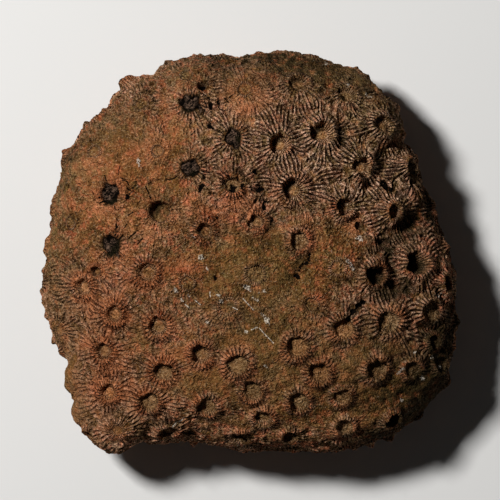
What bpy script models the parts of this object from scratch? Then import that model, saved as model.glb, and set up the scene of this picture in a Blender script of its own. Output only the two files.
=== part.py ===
"""Fossil coral head: one massive colony, cut off flat underneath.

The colony is a low dome with an uneven outline. It carries round calices, each a
pit inside a raised rim whose teeth are the coral's septa. The dome, its flank and
the calices are one solid, because the real fossil is one piece.

The surface above the cut is worked out on a flat disc, the "map". A map radius is the
distance along the surface from the top of the dome, so the dome and the steep flank
share one map, and the calices of both are placed on it.

Run with: blender --background --python part.py
"""

import math

import bpy
import numpy as np
from mathutils.geometry import delaunay_2d_cdt

MM = 0.001

# Driving dimensions of the colony, in millimetres.
DOME_RISE = 17.5  # top of the dome above the widest line
WAIST_HEIGHT = 13.0  # widest line above the flat cut
MIDDLE_Y = -0.5  # middle of the finished head along y, which becomes the origin
UNDERCUT = 5.0  # how far the flank draws in between the widest line and the cut
UNDERCUT_TURN = math.radians(48)  # how far the flank has curved under at the cut

# The outline seen from above, as (x, y) along the widest line, clockwise from the left.
OUTLINE = (
    (-41.2, -8.2), (-40.8, -3.8), (-40.2, 1.8), (-39.4, 7.8), (-38.4, 12.8), (-37.4, 16.8),
    (-36.0, 19.8), (-34.4, 21.8), (-32.0, 25.0), (-29.6, 26.8), (-27.2, 28.2), (-27.2, 30.2),
    (-25.6, 31.4), (-25.4, 33.6), (-23.0, 34.2), (-19.6, 34.8), (-18.4, 36.2), (-16.4, 37.4),
    (-13.6, 38.2), (-10.6, 39.1), (-7.0, 39.2), (-3.0, 39.1), (1.0, 39.4), (5.0, 40.2),
    (8.4, 40.5), (12.0, 39.8), (16.0, 38.2), (19.6, 36.2), (23.6, 33.6), (26.8, 31.4),
    (28.8, 29.2), (30.0, 25.8), (31.0, 21.2), (33.2, 17.8), (34.8, 13.8), (36.4, 9.8),
    (37.8, 4.2), (39.2, 0.2), (41.0, -3.8), (41.4, -7.2), (41.2, -12.2), (40.8, -17.2),
    (40.0, -21.8), (39.6, -25.8), (38.0, -28.0), (35.6, -30.6), (32.4, -33.6), (29.6, -36.2),
    (26.0, -38.0), (22.0, -39.2), (17.0, -40.0), (12.0, -40.5), (7.0, -40.6), (2.0, -40.5),
    (-1.6, -40.2), (-3.6, -39.4), (-7.0, -39.0), (-11.0, -38.7), (-15.0, -38.8), (-19.0, -38.9),
    (-22.0, -38.6), (-23.6, -39.6), (-26.0, -40.6), (-28.4, -40.4), (-30.0, -39.4), (-31.6, -37.8),
    (-33.0, -35.8), (-34.8, -33.6), (-35.0, -31.8), (-34.6, -29.8), (-36.0, -26.6), (-36.0, -24.2),
    (-35.8, -22.2), (-37.2, -20.2), (-38.8, -18.2), (-39.8, -14.6), (-41.0, -10.8),
)  # fmt: skip

# Calices on the dome by how they are kept, as (x, y, pit radius) seen from above.
CALICES = {
    "black": (
        (25.1, -5.1, 1.9), (33.3, -2.9, 2.2), (28.2, -34.0, 1.5), (39.0, -7.0, 1.5),
    ),
    "sunk": ((-18.1, 7.4, 2.2),),
    "deep": ((14.4, 23.0, 2.2), (8.8, 11.8, 2.2), (6.0, 20.8, 2.1)),
    "raised": (
        (18.6, 8.2, 1.7), (31.8, 16.2, 1.5), (28.6, 7.4, 1.5), (22.0, 16.2, 2.0), (26.4, 24.4, 1.9),
    ),
    "open": (
        (27.6, -14.4, 2.2), (36.0, -12.4, 2.0),
        (-3.4, 12.6, 1.7), (-2.4, -23.0, 2.1), (-8.6, -31.8, 1.9), (13.8, -24.6, 2.0),
        (9.8, -30.4, 1.8), (25.2, -24.0, 2.0), (32.6, -24.2, 1.7),
        (19.0, -35.6, 1.6), (18.4, -29.4, 1.6), (9.4, -19.5, 2.1), (9.8, 1.6, 1.8),
        (0.6, -28.4, 1.8), (-20.0, -30.6, 1.8), (-17.2, -24.4, 1.9), (36.8, -18.6, 1.4),
        (38.2, -23.2, 1.5), (18.7, -15.9, 2.1),
    ),
    "shallow": (
        (9.6, 33.0, 1.8), (19.4, 30.8, 1.8), (-20.4, -4.8, 1.9), (-33.2, -7.6, 1.7),
        (-30.8, -4.4, 1.0), (-27.0, -13.0, 1.7), (-18.2, -15.4, 1.9), (-29.2, -20.4, 1.6),
        (-28.0, -28.6, 1.6), (-16.4, -37.0, 1.7), (-9.6, -21.0, 1.9), (2.8, -33.8, 1.7),
        (-1.6, -37.8, 1.6), (8.0, -37.6, 1.5), (-8.9, 3.5, 1.6), (3.0, 38.4, 1.4),
        (-9.4, 32.2, 0.8), (21.4, 4.6, 0.8),
        (1.4, 5.4, 1.5),
    ),
    "filled": (
        (-11.9, 29.0, 2.1), (-3.4, 22.2, 1.9), (-12.0, 16.2, 1.9), (-28.0, 11.0, 2.2),
        (-27.6, 0.8, 2.1),
    ),
    "worn": (
        (-21.6, 29.0, 1.5), (-12.6, 34.4, 1.5), (-1.0, 31.6, 1.6), (-26.4, -36.0, 1.5),
        (1.0, -4.9, 2.2), (17.4, -3.8, 1.8), (-4.4, -11.4, 1.9), (-12.6, -6.8, 1.7),
        (-31.0, 19.4, 1.5), (-36.0, 5.4, 1.3), (-18.4, 19.6, 1.4), (12.2, -11.0, 1.6),
        (32.6, -30.8, 1.3), (-38.0, -16.2, 1.2), (11.6, 37.4, 1.3), (-35.0, -31.0, 1.2),
    ),
}  # fmt: skip

# How each kind of calice is kept, as (pit depth, rim height).
KEPT = {
    "black": (2.3, 0.8),
    "sunk": (1.9, 0.2),
    "deep": (1.2, 1.0),
    "raised": (0.5, 0.9),
    "open": (0.45, 0.5),
    "shallow": (0.8, 0.35),
    "filled": (-0.1, 0.25),  # its plug stands a little proud
    "worn": (0.05, 0.15),
    "flank": (0.7, 0.6),
}

# Calices of the steep flank, which follow a rule.
FLANK_SEED = 11
FLANK_TRIES = 4000
FLANK_SPACING = 7.0  # least distance between the centres of two calices
FLANK_RADII = (1.3, 1.8)  # smallest and largest pit radius
CUT_MARGIN = 3.4  # flank calices stay this far above the cut

# Broad swells and hollows, as (x, y, reach along x, reach along y, turn in degrees, height).
SWELLS = (
    (-2.0, -8.0, 15.0, 9.0, 20, -1.1),  # worn hollow in the middle
    (11.0, 3.5, 5.0, 3.6, 35, 0.8),  # swell above the gully
    (10.0, -4.6, 1.9, 4.2, -35, -0.9),  # gully
    (18.0, 0.0, 5.0, 7.0, -30, 0.7),  # bank right of the gully
    (-1.0, 31.0, 6.0, 4.5, 0, 0.8),  # smooth boss near the top edge
    (-6.0, 26.5, 5.5, 1.6, -18, -0.7),  # foot of that boss
    (10.0, 39.5, 13.0, 3.6, -8, -1.5),  # ledge along the top edge
    (4.1, 3.5, 1.7, 5.0, -12, -0.8),  # groove left of the swell
    (-6.0, -17.5, 14.0, 2.6, 14, 0.6),  # low ridge below the hollow
    (27.5, 1.5, 7.0, 5.0, 60, -0.5),  # hollow among the deep calices
    (31.6, 4.8, 1.9, 2.4, -30, -2.0),  # deeper hollows between their rims
    (26.8, 1.4, 2.0, 1.3, -40, -1.4),
    (29.4, -7.8, 2.3, 1.5, -15, -1.7),
    (-34.0, -27.0, 4.5, 8.0, 10, 0.6),  # smooth shoulder at the lower left
    (-12.0, -39.0, 9.0, 4.0, 0, -0.6),  # scallop in the lower edge
)

# Small lumps all over, as a sum of waves.
LUMP_SEED = 4
LUMP_WAVES = 14
LUMP_LENGTHS = (9.0, 22.0)  # shortest and longest wavelength
LUMP_HEIGHT = 0.28

# The mesh: rings of points round each calice, as (share of pit radius, number of points).
FLOOR_RING = (0.78, 7)
RIM_RING = (1.08, 16)
FOOT_RING = (2.0, 12)
TOOTH = 0.2  # how far every second point of a rim stands up as a septum
FILL_SPACING = 3.3
FILL_CLEAR = 1.5
CUT_POINTS = 96

OUTLINE_STEPS = 12  # curve points between two outline points
PROFILE_STEPS = 200
EDGE_START, EDGE_END = 0.72, 1.0  # share of the reach over which the outline's detail comes in
SMOOTH_HARMONICS = 4
CUT_DETAIL = 0.5  # how much of the outline's detail is left at the cut


def smoothstep(low, high, value):
    """0 below low, 1 above high, and a smooth rise between them."""
    t = np.clip((value - low) / (high - low), 0.0, 1.0)
    return t * t * (3 - 2 * t)


def outline_reach():
    """Angles and radii of a smooth closed curve through OUTLINE, by Catmull-Rom."""
    p = np.array(OUTLINE)
    before, after, beyond = np.roll(p, 1, 0), np.roll(p, -1, 0), np.roll(p, -2, 0)
    t = (np.arange(OUTLINE_STEPS) / OUTLINE_STEPS)[:, None, None]
    curve = 0.5 * (
        2 * p
        + (after - before) * t
        + (2 * before - 5 * p + 4 * after - beyond) * t**2
        + (3 * p - before - 3 * after + beyond) * t**3
    )
    curve = curve.transpose(1, 0, 2).reshape(-1, 2)
    angles = np.arctan2(curve[:, 1], curve[:, 0])
    order = np.argsort(angles)
    even = np.linspace(-math.pi, math.pi, 720, endpoint=False)
    radii = np.hypot(*curve.T)[order]
    return even, np.interp(even, angles[order], radii, period=2 * math.pi)


def profile():
    """Map radius, share of the outline's reach and height, from the top to the cut."""
    dome = np.linspace(0, math.pi / 2, PROFILE_STEPS)
    flank = np.linspace(0, UNDERCUT_TURN, PROFILE_STEPS)[1:]
    mean = REACHES.mean()
    drawn_in = UNDERCUT * (1 - np.cos(flank)) / (1 - math.cos(UNDERCUT_TURN))
    share = np.concatenate([np.sin(dome), 1 - drawn_in / mean])
    fall = WAIST_HEIGHT * np.sin(flank) / math.sin(UNDERCUT_TURN)
    height = np.concatenate([WAIST_HEIGHT + DOME_RISE * np.cos(dome), WAIST_HEIGHT - fall])
    steps = np.hypot(np.diff(share) * mean, np.diff(height))
    return np.concatenate([[0.0], np.cumsum(steps)]), share, height


ANGLES, REACHES = outline_reach()
spectrum = np.fft.rfft(REACHES)
spectrum[SMOOTH_HARMONICS + 1 :] = 0
SMOOTH_REACHES = np.fft.irfft(spectrum, len(REACHES))
MAP_RADII, SHARES, HEIGHTS = profile()
MAP_WAIST = MAP_RADII[PROFILE_STEPS - 1]
MAP_CUT = MAP_RADII[-1]


def reach(angle, share, below=0.0):
    """Radius of the outline at an angle: smooth on the dome, detailed at the edge."""
    full = np.interp(angle, ANGLES, REACHES, period=2 * math.pi)
    smooth = np.interp(angle, ANGLES, SMOOTH_REACHES, period=2 * math.pi)
    detail = smoothstep(EDGE_START, EDGE_END, share) - (1 - CUT_DETAIL) * below
    return smooth + (full - smooth) * detail


def swells(x, y):
    """Height of the broad swells and hollows at a place seen from above."""
    total = np.zeros_like(x)
    for cx, cy, reach_x, reach_y, turn, height in SWELLS:
        c, s = math.cos(math.radians(turn)), math.sin(math.radians(turn))
        along, across = (x - cx) * c + (y - cy) * s, (y - cy) * c - (x - cx) * s
        total += height * np.exp(-((along / reach_x) ** 2) - (across / reach_y) ** 2)
    return total


def lumps(points):
    """Height of the small lumps: waves of seeded directions, lengths and phases."""
    rng = np.random.default_rng(LUMP_SEED)
    way = rng.normal(size=(LUMP_WAVES, 3))
    way /= np.linalg.norm(way, axis=1, keepdims=True)
    lengths = rng.uniform(*LUMP_LENGTHS, LUMP_WAVES)
    phases = rng.uniform(0, 2 * math.pi, LUMP_WAVES)
    waves = np.sin(points @ (way * (2 * math.pi / lengths)[:, None]).T + phases)
    return LUMP_HEIGHT * waves.sum(1) / math.sqrt(LUMP_WAVES / 2)


def base_points(places):
    """The undecorated surface at map places: the profile carried round the outline."""
    radius = np.hypot(places[:, 0], places[:, 1])
    angle = np.arctan2(places[:, 1], places[:, 0])
    share = np.interp(radius, MAP_RADII, SHARES)
    height = np.interp(radius, MAP_RADII, HEIGHTS)
    below = smoothstep(MAP_WAIST, MAP_CUT, radius)
    out = share * reach(angle, np.where(radius > MAP_WAIST, 1.0, share), below)
    return np.stack([out * np.cos(angle), out * np.sin(angle), height], 1)


def surface_points(places, relief):
    """Points of the finished surface: the base moved along its normal by all relief."""
    step = 0.05
    across = base_points(places + (step, 0)) - base_points(places - (step, 0))
    along = base_points(places + (0, step)) - base_points(places - (0, step))
    normal = np.cross(across, along)
    normal /= np.linalg.norm(normal, axis=1, keepdims=True)
    points = base_points(places)
    rise = relief + swells(points[:, 0], points[:, 1]) + lumps(points)
    rise *= smoothstep(MAP_CUT, MAP_CUT - CUT_MARGIN, np.hypot(*places.T))
    return points + normal * rise[:, None]


def map_place(x, y):
    """Where a place seen from above lies on the map."""
    angle, radius = math.atan2(y, x), math.hypot(x, y)
    share = 0.5
    for _ in range(20):
        share = min(radius / float(reach(angle, share)), 1.0)
    far = float(np.interp(share, SHARES[:PROFILE_STEPS], MAP_RADII[:PROFILE_STEPS]))
    return far * math.cos(angle), far * math.sin(angle)


def all_calices():
    """Every calice as (map x, map y, pit radius, pit depth, rim height).

    Those of the flank are drawn at random, and each is kept if it stands clear of all
    that are already there.
    """
    found = [
        (*map_place(x, y), radius, *KEPT[kind])
        for kind, group in CALICES.items()
        for x, y, radius in group
    ]
    rng = np.random.default_rng(FLANK_SEED)
    angle = rng.uniform(0, 2 * math.pi, FLANK_TRIES)
    far = rng.uniform(MAP_WAIST - 1.0, MAP_CUT - CUT_MARGIN, FLANK_TRIES)
    radii = rng.uniform(*FLANK_RADII, FLANK_TRIES)
    tries = np.stack([far * np.cos(angle), far * np.sin(angle)], 1)
    centres = base_points(np.array(found)[:, :2])
    for place, point, radius in zip(tries, base_points(tries), radii):
        if np.linalg.norm(centres - point, axis=1).min() > FLANK_SPACING:
            found.append((*place, radius, *KEPT["flank"]))
            centres = np.concatenate([centres, [point]])
    return np.array(found)


def circle(radius, count):
    """Points evenly round the middle of the map."""
    a = 2 * math.pi * np.arange(count) / count
    return np.stack([radius * np.cos(a), radius * np.sin(a)], 1)


def ring(x, y, radius, count, turn):
    """Map places that lie in a circle on the surface round a map place.

    The map is wider than the steep flank, by its radius over the flank's own, so the
    ring is stretched by that ratio round the colony.
    """
    far = math.hypot(x, y)
    stretch = far / (REACHES.mean() * np.interp(far, MAP_RADII, SHARES))
    a = turn + 2 * math.pi * np.arange(count) / count
    out, side = radius * np.cos(a)[:, None], stretch * radius * np.sin(a)[:, None]
    return (x, y) + (out * (x, y) + side * (-y, x)) / far


def calice_points(calices):
    """Map places and relief of the rings round every calice, without those that crowd."""
    places, relief = [], []
    centres = base_points(calices[:, :2])
    for index, (x, y, pit, depth, rim) in enumerate(calices):
        turn = index * 2.4
        tooth = TOOTH * rim / KEPT["open"][1] * np.array([1, -1])
        rings = [
            (np.array([[x, y]]), np.array([-0.85 * depth])),
            (ring(x, y, pit * FLOOR_RING[0], FLOOR_RING[1], turn), np.full(FLOOR_RING[1], -depth)),
            (ring(x, y, pit * RIM_RING[0], RIM_RING[1], turn), rim + np.resize(tooth, RIM_RING[1])),
            (ring(x, y, pit * FOOT_RING[0], FOOT_RING[1], turn), np.resize(tooth, FOOT_RING[1])),
        ]
        for level, (at, rise) in enumerate(rings):
            gaps = np.linalg.norm(base_points(at)[:, None] - centres, axis=2) / calices[:, 2]
            own = gaps[:, index].copy()
            gaps[:, index] = np.inf
            free = (gaps.min(1) > own + 0.25) | (level < 2)
            places.append(at[free])
            relief.append(rise[free])
    places, relief = np.concatenate(places), np.concatenate(relief)
    inside = np.hypot(*places.T) < MAP_CUT - 1.0
    return places[inside], relief[inside]


def fill_points(taken):
    """A triangular lattice of map places wherever no calice point is near."""
    count = int(MAP_CUT // FILL_SPACING) + 1
    i, j = np.meshgrid(np.arange(-count, count + 1), np.arange(-count, count + 1))
    x = FILL_SPACING * (i + 0.5 * (j % 2))
    y = FILL_SPACING * j * math.sqrt(3) / 2
    places = np.stack([x.ravel(), y.ravel()], 1)
    places = places[np.hypot(*places.T) < MAP_CUT - 1.6]
    gaps = np.linalg.norm(places[:, None] - taken[None], axis=2).min(1)
    return places[gaps > FILL_CLEAR]


def head_mesh():
    """Triangles over the whole map, turned into the dome and closed by the flat cut."""
    calice_places, calice_relief = calice_points(all_calices())
    fill = fill_points(calice_places)
    cut = circle(MAP_CUT, CUT_POINTS)
    places = np.concatenate([cut, calice_places, fill])
    relief = np.concatenate([np.zeros(CUT_POINTS), calice_relief, np.zeros(len(fill))])
    flat, _, faces, origins, *_ = delaunay_2d_cdt(places.tolist(), [], [], 0, 1e-6)
    order = [origin[0] for origin in origins]
    points = surface_points(np.array([tuple(v) for v in flat]), relief[order])
    points[:, 1] -= MIDDLE_Y
    points[[order.index(i) for i in range(CUT_POINTS)], 2] = 0.0
    bottom = [order.index(i) for i in reversed(range(CUT_POINTS))]
    mesh = bpy.data.meshes.new("coral_head")
    mesh.from_pydata((points * MM).tolist(), [], [*faces, bottom])
    mesh.validate()
    mesh.update()
    mesh.shade_smooth()
    mesh.set_sharp_from_angle(angle=math.radians(42))
    return mesh


def stone():
    """Iron-stained limestone: rough, red-brown, not metallic."""
    material = bpy.data.materials.new("stained_limestone")
    material.use_nodes = True
    shader = material.node_tree.nodes["Principled BSDF"]
    shader.inputs["Base Color"].default_value = (0.24, 0.11, 0.05, 1)
    shader.inputs["Roughness"].default_value = 0.85
    shader.inputs["Metallic"].default_value = 0.0
    return material


def main():
    for old in list(bpy.data.objects):
        bpy.data.objects.remove(old)
    head = bpy.data.objects.new("coral_head", head_mesh())
    head.data.materials.append(stone())
    bpy.context.scene.collection.objects.link(head)


main()
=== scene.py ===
"""Fossil coral head, finished: septa, calices, stone and a plain studio.

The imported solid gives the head's size and place. The skin here follows the same
outline, profile, calices and swells, and adds what is too fine for the solid: the
septa, which run as ridges from calice to calice, the filled calices, cracks and wear.

The surface above the cut is worked out on a flat disc, the "map". A map radius is the
distance along the surface from the top of the dome. Lengths are in millimetres until
the mesh is made.

Run as a script: blender --background --python scene.py
"""

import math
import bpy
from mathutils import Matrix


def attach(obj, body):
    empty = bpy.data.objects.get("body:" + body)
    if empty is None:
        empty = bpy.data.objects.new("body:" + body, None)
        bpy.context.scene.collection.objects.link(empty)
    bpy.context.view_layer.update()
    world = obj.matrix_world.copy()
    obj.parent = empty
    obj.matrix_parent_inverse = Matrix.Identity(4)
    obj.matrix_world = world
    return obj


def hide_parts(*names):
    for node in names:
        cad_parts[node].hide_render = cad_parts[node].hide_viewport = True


bl_info = {
    "name": "Fossil Coral Head",
    "version": (1, 0, 0),
    "blender": (4, 5, 0),
    "location": "3D View > Sidebar > Coral",
    "description": "Dresses the solid of a fossil coral head and sets up a plain studio",
    "category": "Object",
}

from dataclasses import dataclass

import bpy
import numpy as np
from mathutils import Euler, Vector
from mathutils.geometry import delaunay_2d_cdt

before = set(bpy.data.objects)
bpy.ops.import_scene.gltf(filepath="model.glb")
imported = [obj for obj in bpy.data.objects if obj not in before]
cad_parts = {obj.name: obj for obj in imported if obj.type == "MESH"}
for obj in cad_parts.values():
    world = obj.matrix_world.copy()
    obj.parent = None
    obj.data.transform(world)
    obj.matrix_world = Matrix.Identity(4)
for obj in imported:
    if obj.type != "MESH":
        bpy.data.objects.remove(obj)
HEAD = "coral_head"
MM = 0.001

# Driving dimensions of the colony.
DOME_RISE = 17.5  # top of the dome above the widest line
WAIST_HEIGHT = 13.0  # widest line above the flat cut
MIDDLE_Y = -0.5  # middle of the finished head along y, which becomes the origin
UNDERCUT = 5.0  # how far the flank draws in between the widest line and the cut
UNDERCUT_TURN = math.radians(48)  # how far the flank has curved under at the cut

# The outline seen from above, as (x, y) along the widest line, clockwise from the left.
OUTLINE = (
    (-41.2, -8.2), (-40.8, -3.8), (-40.2, 1.8), (-39.4, 7.8), (-38.4, 12.8), (-37.4, 16.8),
    (-36, 19.8), (-34.4, 21.8), (-32, 25), (-29.6, 26.8), (-27.2, 28.2), (-27.2, 30.2),
    (-25.6, 31.4), (-25.4, 33.6), (-23, 34.2), (-19.6, 34.8), (-18.4, 36.2), (-16.4, 37.4),
    (-13.6, 38.2), (-10.6, 39.1), (-7, 39.2), (-3, 39.1), (1, 39.4), (5, 40.2), (8.4, 40.5),
    (12, 39.8), (16, 38.2), (19.6, 36.2), (23.6, 33.6), (26.8, 31.4), (28.8, 29.2), (30, 25.8),
    (31, 21.2), (33.2, 17.8), (34.8, 13.8), (36.4, 9.8), (37.8, 4.2), (39.2, 0.2), (41, -3.8),
    (41.4, -7.2), (41.2, -12.2), (40.8, -17.2), (40, -21.8), (39.6, -25.8), (38, -28),
    (35.6, -30.6), (32.4, -33.6), (29.6, -36.2), (26, -38), (22, -39.2), (17, -40), (12, -40.5),
    (7, -40.6), (2, -40.5), (-1.6, -40.2), (-3.6, -39.4), (-7, -39), (-11, -38.7), (-15, -38.8),
    (-19, -38.9), (-22, -38.6), (-23.6, -39.6), (-26, -40.6), (-28.4, -40.4), (-30, -39.4),
    (-31.6, -37.8), (-33, -35.8), (-34.8, -33.6), (-35, -31.8), (-34.6, -29.8), (-36, -26.6),
    (-36, -24.2), (-35.8, -22.2), (-37.2, -20.2), (-38.8, -18.2), (-39.8, -14.6), (-41, -10.8),
)  # fmt: skip

# Calices on the dome by how they are kept, as (x, y, pit radius) seen from above.
CALICES = {
    "black": (
        (25.1, -5.1, 1.9), (33.3, -2.9, 2.2), (28.2, -34, 1.5), (39, -7, 1.5),
    ),
    "sunk": (
        (-18.1, 7.4, 2.2),
    ),
    "deep": (
        (14.4, 23, 2.2), (8.8, 11.8, 2.2), (6, 20.8, 2.1),
    ),
    "raised": (
        (18.6, 8.2, 1.7), (31.8, 16.2, 1.5), (28.6, 7.4, 1.5), (22, 16.2, 2), (26.4, 24.4, 1.9),
    ),
    "open": (
        (27.6, -14.4, 2.2), (36, -12.4, 2), (-3.4, 12.6, 1.7), (-2.4, -23, 2.1),
        (-8.6, -31.8, 1.9), (13.8, -24.6, 2), (9.8, -30.4, 1.8), (25.2, -24, 2),
        (32.6, -24.2, 1.7), (19, -35.6, 1.6), (18.4, -29.4, 1.6), (9.4, -19.5, 2.1),
        (9.8, 1.6, 1.8), (0.6, -28.4, 1.8), (-20, -30.6, 1.8), (-17.2, -24.4, 1.9),
        (36.8, -18.6, 1.4), (38.2, -23.2, 1.5), (18.7, -15.9, 2.1),
    ),
    "shallow": (
        (9.6, 33, 1.8), (19.4, 30.8, 1.8), (-20.4, -4.8, 1.9), (-33.2, -7.6, 1.7),
        (-30.8, -4.4, 1), (-27, -13, 1.7), (-18.2, -15.4, 1.9), (-29.2, -20.4, 1.6),
        (-28, -28.6, 1.6), (-16.4, -37, 1.7), (-9.6, -21, 1.9), (2.8, -33.8, 1.7),
        (-1.6, -37.8, 1.6), (8, -37.6, 1.5), (-8.9, 3.5, 1.6), (3, 38.4, 1.4),
        (-9.4, 32.2, 0.8), (21.4, 4.6, 0.8), (1.4, 5.4, 1.5),
    ),
    "filled": (
        (-11.9, 29, 2.1), (-3.4, 22.2, 1.9), (-12, 16.2, 1.9), (-28, 11, 2.2),
        (-27.6, 0.8, 2.1),
    ),
    "worn": (
        (-21.6, 29, 1.5), (-12.6, 34.4, 1.5), (-1, 31.6, 1.6), (-26.4, -36, 1.5),
        (1, -4.9, 2.2), (17.4, -3.8, 1.8), (-4.4, -11.4, 1.9), (-12.6, -6.8, 1.7),
        (-31, 19.4, 1.5), (-36, 5.4, 1.3), (-18.4, 19.6, 1.4), (12.2, -11, 1.6),
        (32.6, -30.8, 1.3), (-38, -16.2, 1.2), (11.6, 37.4, 1.3), (-35, -31, 1.2),
    ),
}  # fmt: skip

# How each kind of calice is kept: pit depth, rim height, share filled with matrix, how
# fresh its ring of septa is, and how far the septa run in over the floor.
KEPT = {
    "black": (2.3, 0.8, 0.0, 1.0, 1.0),
    "sunk": (1.9, 0.2, 0.0, 0.4, 0.0),
    "deep": (1.2, 1.0, 0.0, 1.0, 1.0),
    "raised": (0.5, 0.9, 0.0, 1.0, 1.0),
    "open": (0.45, 0.5, 0.0, 1.0, 0.0),
    "shallow": (0.8, 0.35, 0.0, 0.9, 0.6),
    "filled": (0.5, 0.25, 1.0, 0.5, 0.0),
    "worn": (0.05, 0.15, 0.0, 0.25, 0.3),
    "flank": (0.7, 0.6, 0.0, 0.8, 0.0),
}

# The pits lean, as the corallites do.
LEAN = 0.6  # a pit is this share deeper on the side that it leans to
LEAN_WAY = (-0.83, 0.56)  # east and north parts of that side's direction

# Calices of the steep flank, which follow a rule.
FLANK_SEED = 11
FLANK_TRIES = 4000
FLANK_SPACING = 7.0  # least distance between the centres of two calices
FLANK_RADII = (1.3, 1.8)  # smallest and largest pit radius
CUT_MARGIN = 3.4  # flank calices stay this far above the cut

# Broad swells and hollows, as (x, y, reach along x, reach along y, turn in degrees, height).
SWELLS = (
    (-2, -8, 15, 9, 20, -1.1),  # worn hollow in the middle
    (11, 3.5, 5, 3.6, 35, 0.8),  # swell above the gully
    (10, -4.6, 1.9, 4.2, -35, -0.9),  # gully
    (18, 0, 5, 7, -30, 0.7),  # bank right of the gully
    (-1, 31, 6, 4.5, 0, 0.8),  # smooth boss near the top edge
    (-6, 26.5, 5.5, 1.6, -18, -0.7),  # foot of that boss
    (10, 39.5, 13, 3.6, -8, -1.5),  # ledge along the top edge
    (4.1, 3.5, 1.7, 5, -12, -0.8),  # groove left of the swell
    (-6, -17.5, 14, 2.6, 14, 0.6),  # low ridge below the hollow
    (27.5, 1.5, 7, 5, 60, -0.5),  # hollow among the deep calices
    (31.6, 4.8, 1.9, 2.4, -30, -2),  # deeper hollows between their rims
    (26.8, 1.4, 2, 1.3, -40, -1.4), (28, -1.8, 0.9, 1.9, 10, -1.2),
    (29.4, -7.8, 2.3, 1.5, -15, -1.7), (22, 28.2, 1.6, 1, -20, -0.9),
    (17.8, 22.6, 0.8, 2.4, 0, -1.2), (11.4, 10.4, 0.7, 1.6, 0, -0.7),
    (26.4, 18.4, 1.8, 1, -20, -0.8), (23.6, 13.4, 1.4, 1.1, -40, -0.8),
    (29.4, 21.6, 1.7, 1, -30, -0.9), (32.6, 13.6, 1, 1.6, 20, -1), (36, -16, 2.2, 1, -20, -1),
    (-34, -27, 4.5, 8, 10, 0.6),  # smooth shoulder at the lower left
    (-12, -39, 9, 4, 0, -0.6),  # scallop in the lower edge
)  # fmt: skip

# Sums of waves all over the head, by seed, count and shortest and longest wavelength.
LUMPS = (4, 14, (9.0, 22.0))
UNEVEN = (21, 24, (2.4, 6.0))
BLOTCHES = (22, 24, (1.0, 2.6))
GRIT_SEED = 23  # each vertex also stands a little higher or lower by itself
LUMP_HEIGHT = 0.28

# Soft patches, each as (x, y, reach along x, reach along y, turn in degrees, strength).
# These ones are rubbed, so the septa are low.
WORN = (
    (-3, -3.5, 17, 9, 12, 1.2),  # the middle
    (12, -3, 6, 8, -20, 0.9),  # the gully and its banks
    (17, -1, 5, 9, -30, 0.9), (-12, -19.5, 9, 3.5, 0, 0.8), (-11, -26.5, 7, 3.5, 0, 0.9),
    (3, -19, 9, 6, 0, 1), (5, -27, 14, 6, 0, 0.8), (22, -21, 11, 5, -20, 0.9),
    (18, -33, 16, 6, 10, 0.8), (31, -29, 8, 7, 0, 0.8), (-5, -35, 8, 4, 0, 0.6),
    (-26, 13, 12, 11, 0, 0.9), (-30, 2, 7, 6, 0, 0.6), (-22, -18.6, 2.4, 2.8, 0, 0.8),
    (-13.5, 12.4, 5, 4, 0, 0.6), (-14.6, 22.6, 3.6, 6, 0, 0.9),
    (14, 36, 16, 4, -15, 0.8),  # ledge along the top edge
)  # fmt: skip
# Little grain shows here.
SMOOTH = (
    (-1, -3.5, 15, 9, 12, 0.6), (3, -20, 14, 10, 0, 0.6), (-11, -24, 10, 7, 0, 0.6),
    (22, -26, 14, 9, 0, 0.5), (-1, 31, 6, 4.2, 0, 0.7), (-36, -29, 3, 10, 0, 0.9),
    (-24, 20, 14, 12, 0, 0.55), (-32, -13, 8, 10, 0, 0.8), (-26, -32, 9, 7, 0, 0.9),
)  # fmt: skip
# Here the rings round the calices are rubbed away too.
BARE = (
    (-3, -3.5, 14, 7, 12, 0.9), (-1, 31, 5, 4.2, 0, 0.95), (-12.6, 34.4, 5, 2.8, 10, 0.8),
    (-26, 19, 13, 9, 30, 0.9), (-32, 5, 7, 7, 0, 0.7), (-18, 7.4, 5, 4, 0, 0.9),
    (-41, 6, 2.6, 13, 6, 0.9), (-36, -31, 4, 8, 0, 0.8), (14, -3, 5, 6, 0, 0.6),
)  # fmt: skip
# Grooves get wide, black painted shade here, and the septa are pale, partly lifted as painted
# light.
CRISP = (
    (14, 18, 15, 12, 0, 1.2), (28, 12, 8, 14, 0, 0.6), (28, -14, 9, 8, 0, 0.4),
    (-6, 26, 7, 5, 0, 0.5),
)  # fmt: skip
# Iron stain, mostly on the rings.
ORANGE = (
    (-26, 8, 13, 22, 0, 1), (-30, -28, 10, 12, 0, 0.8), (-30, -12, 10, 9, 0, 0.5),
    (-14, -4, 7, 5, 0, 0.7), (-8, -24, 22, 13, 0, 1), (18, -24, 14, 12, 0, 0.5),
    (0, 9, 12, 6, 20, 1), (-15, 22, 8, 8, 0, 0.4), (29, -7, 8, 12, 0, 0.6),
)  # fmt: skip
# Iron stain on the ground between the rings too.
STAINED = (
    (-31, -13, 9, 8, 0, 0.35), (-28, -27, 9, 8, 0, 0.3), (-1, 31, 6, 4.6, 0, 0.9),
    (-22, 20, 5, 3, 20, 0.3), (-17, 27, 2.4, 5, 0, 0.3), (14.8, -10.6, 1.4, 2.4, 20, 0.9),
    (11.6, 3, 1.6, 3, 0, 0.7), (19, 3, 3.6, 4, 0, 0.6), (-7.6, 7, 3, 2, -20, 0.6),
    (-3, 8.4, 3, 2.4, 0, 0.4), (-12, -3.2, 4, 1.2, -5, 0.4),
)  # fmt: skip
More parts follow.
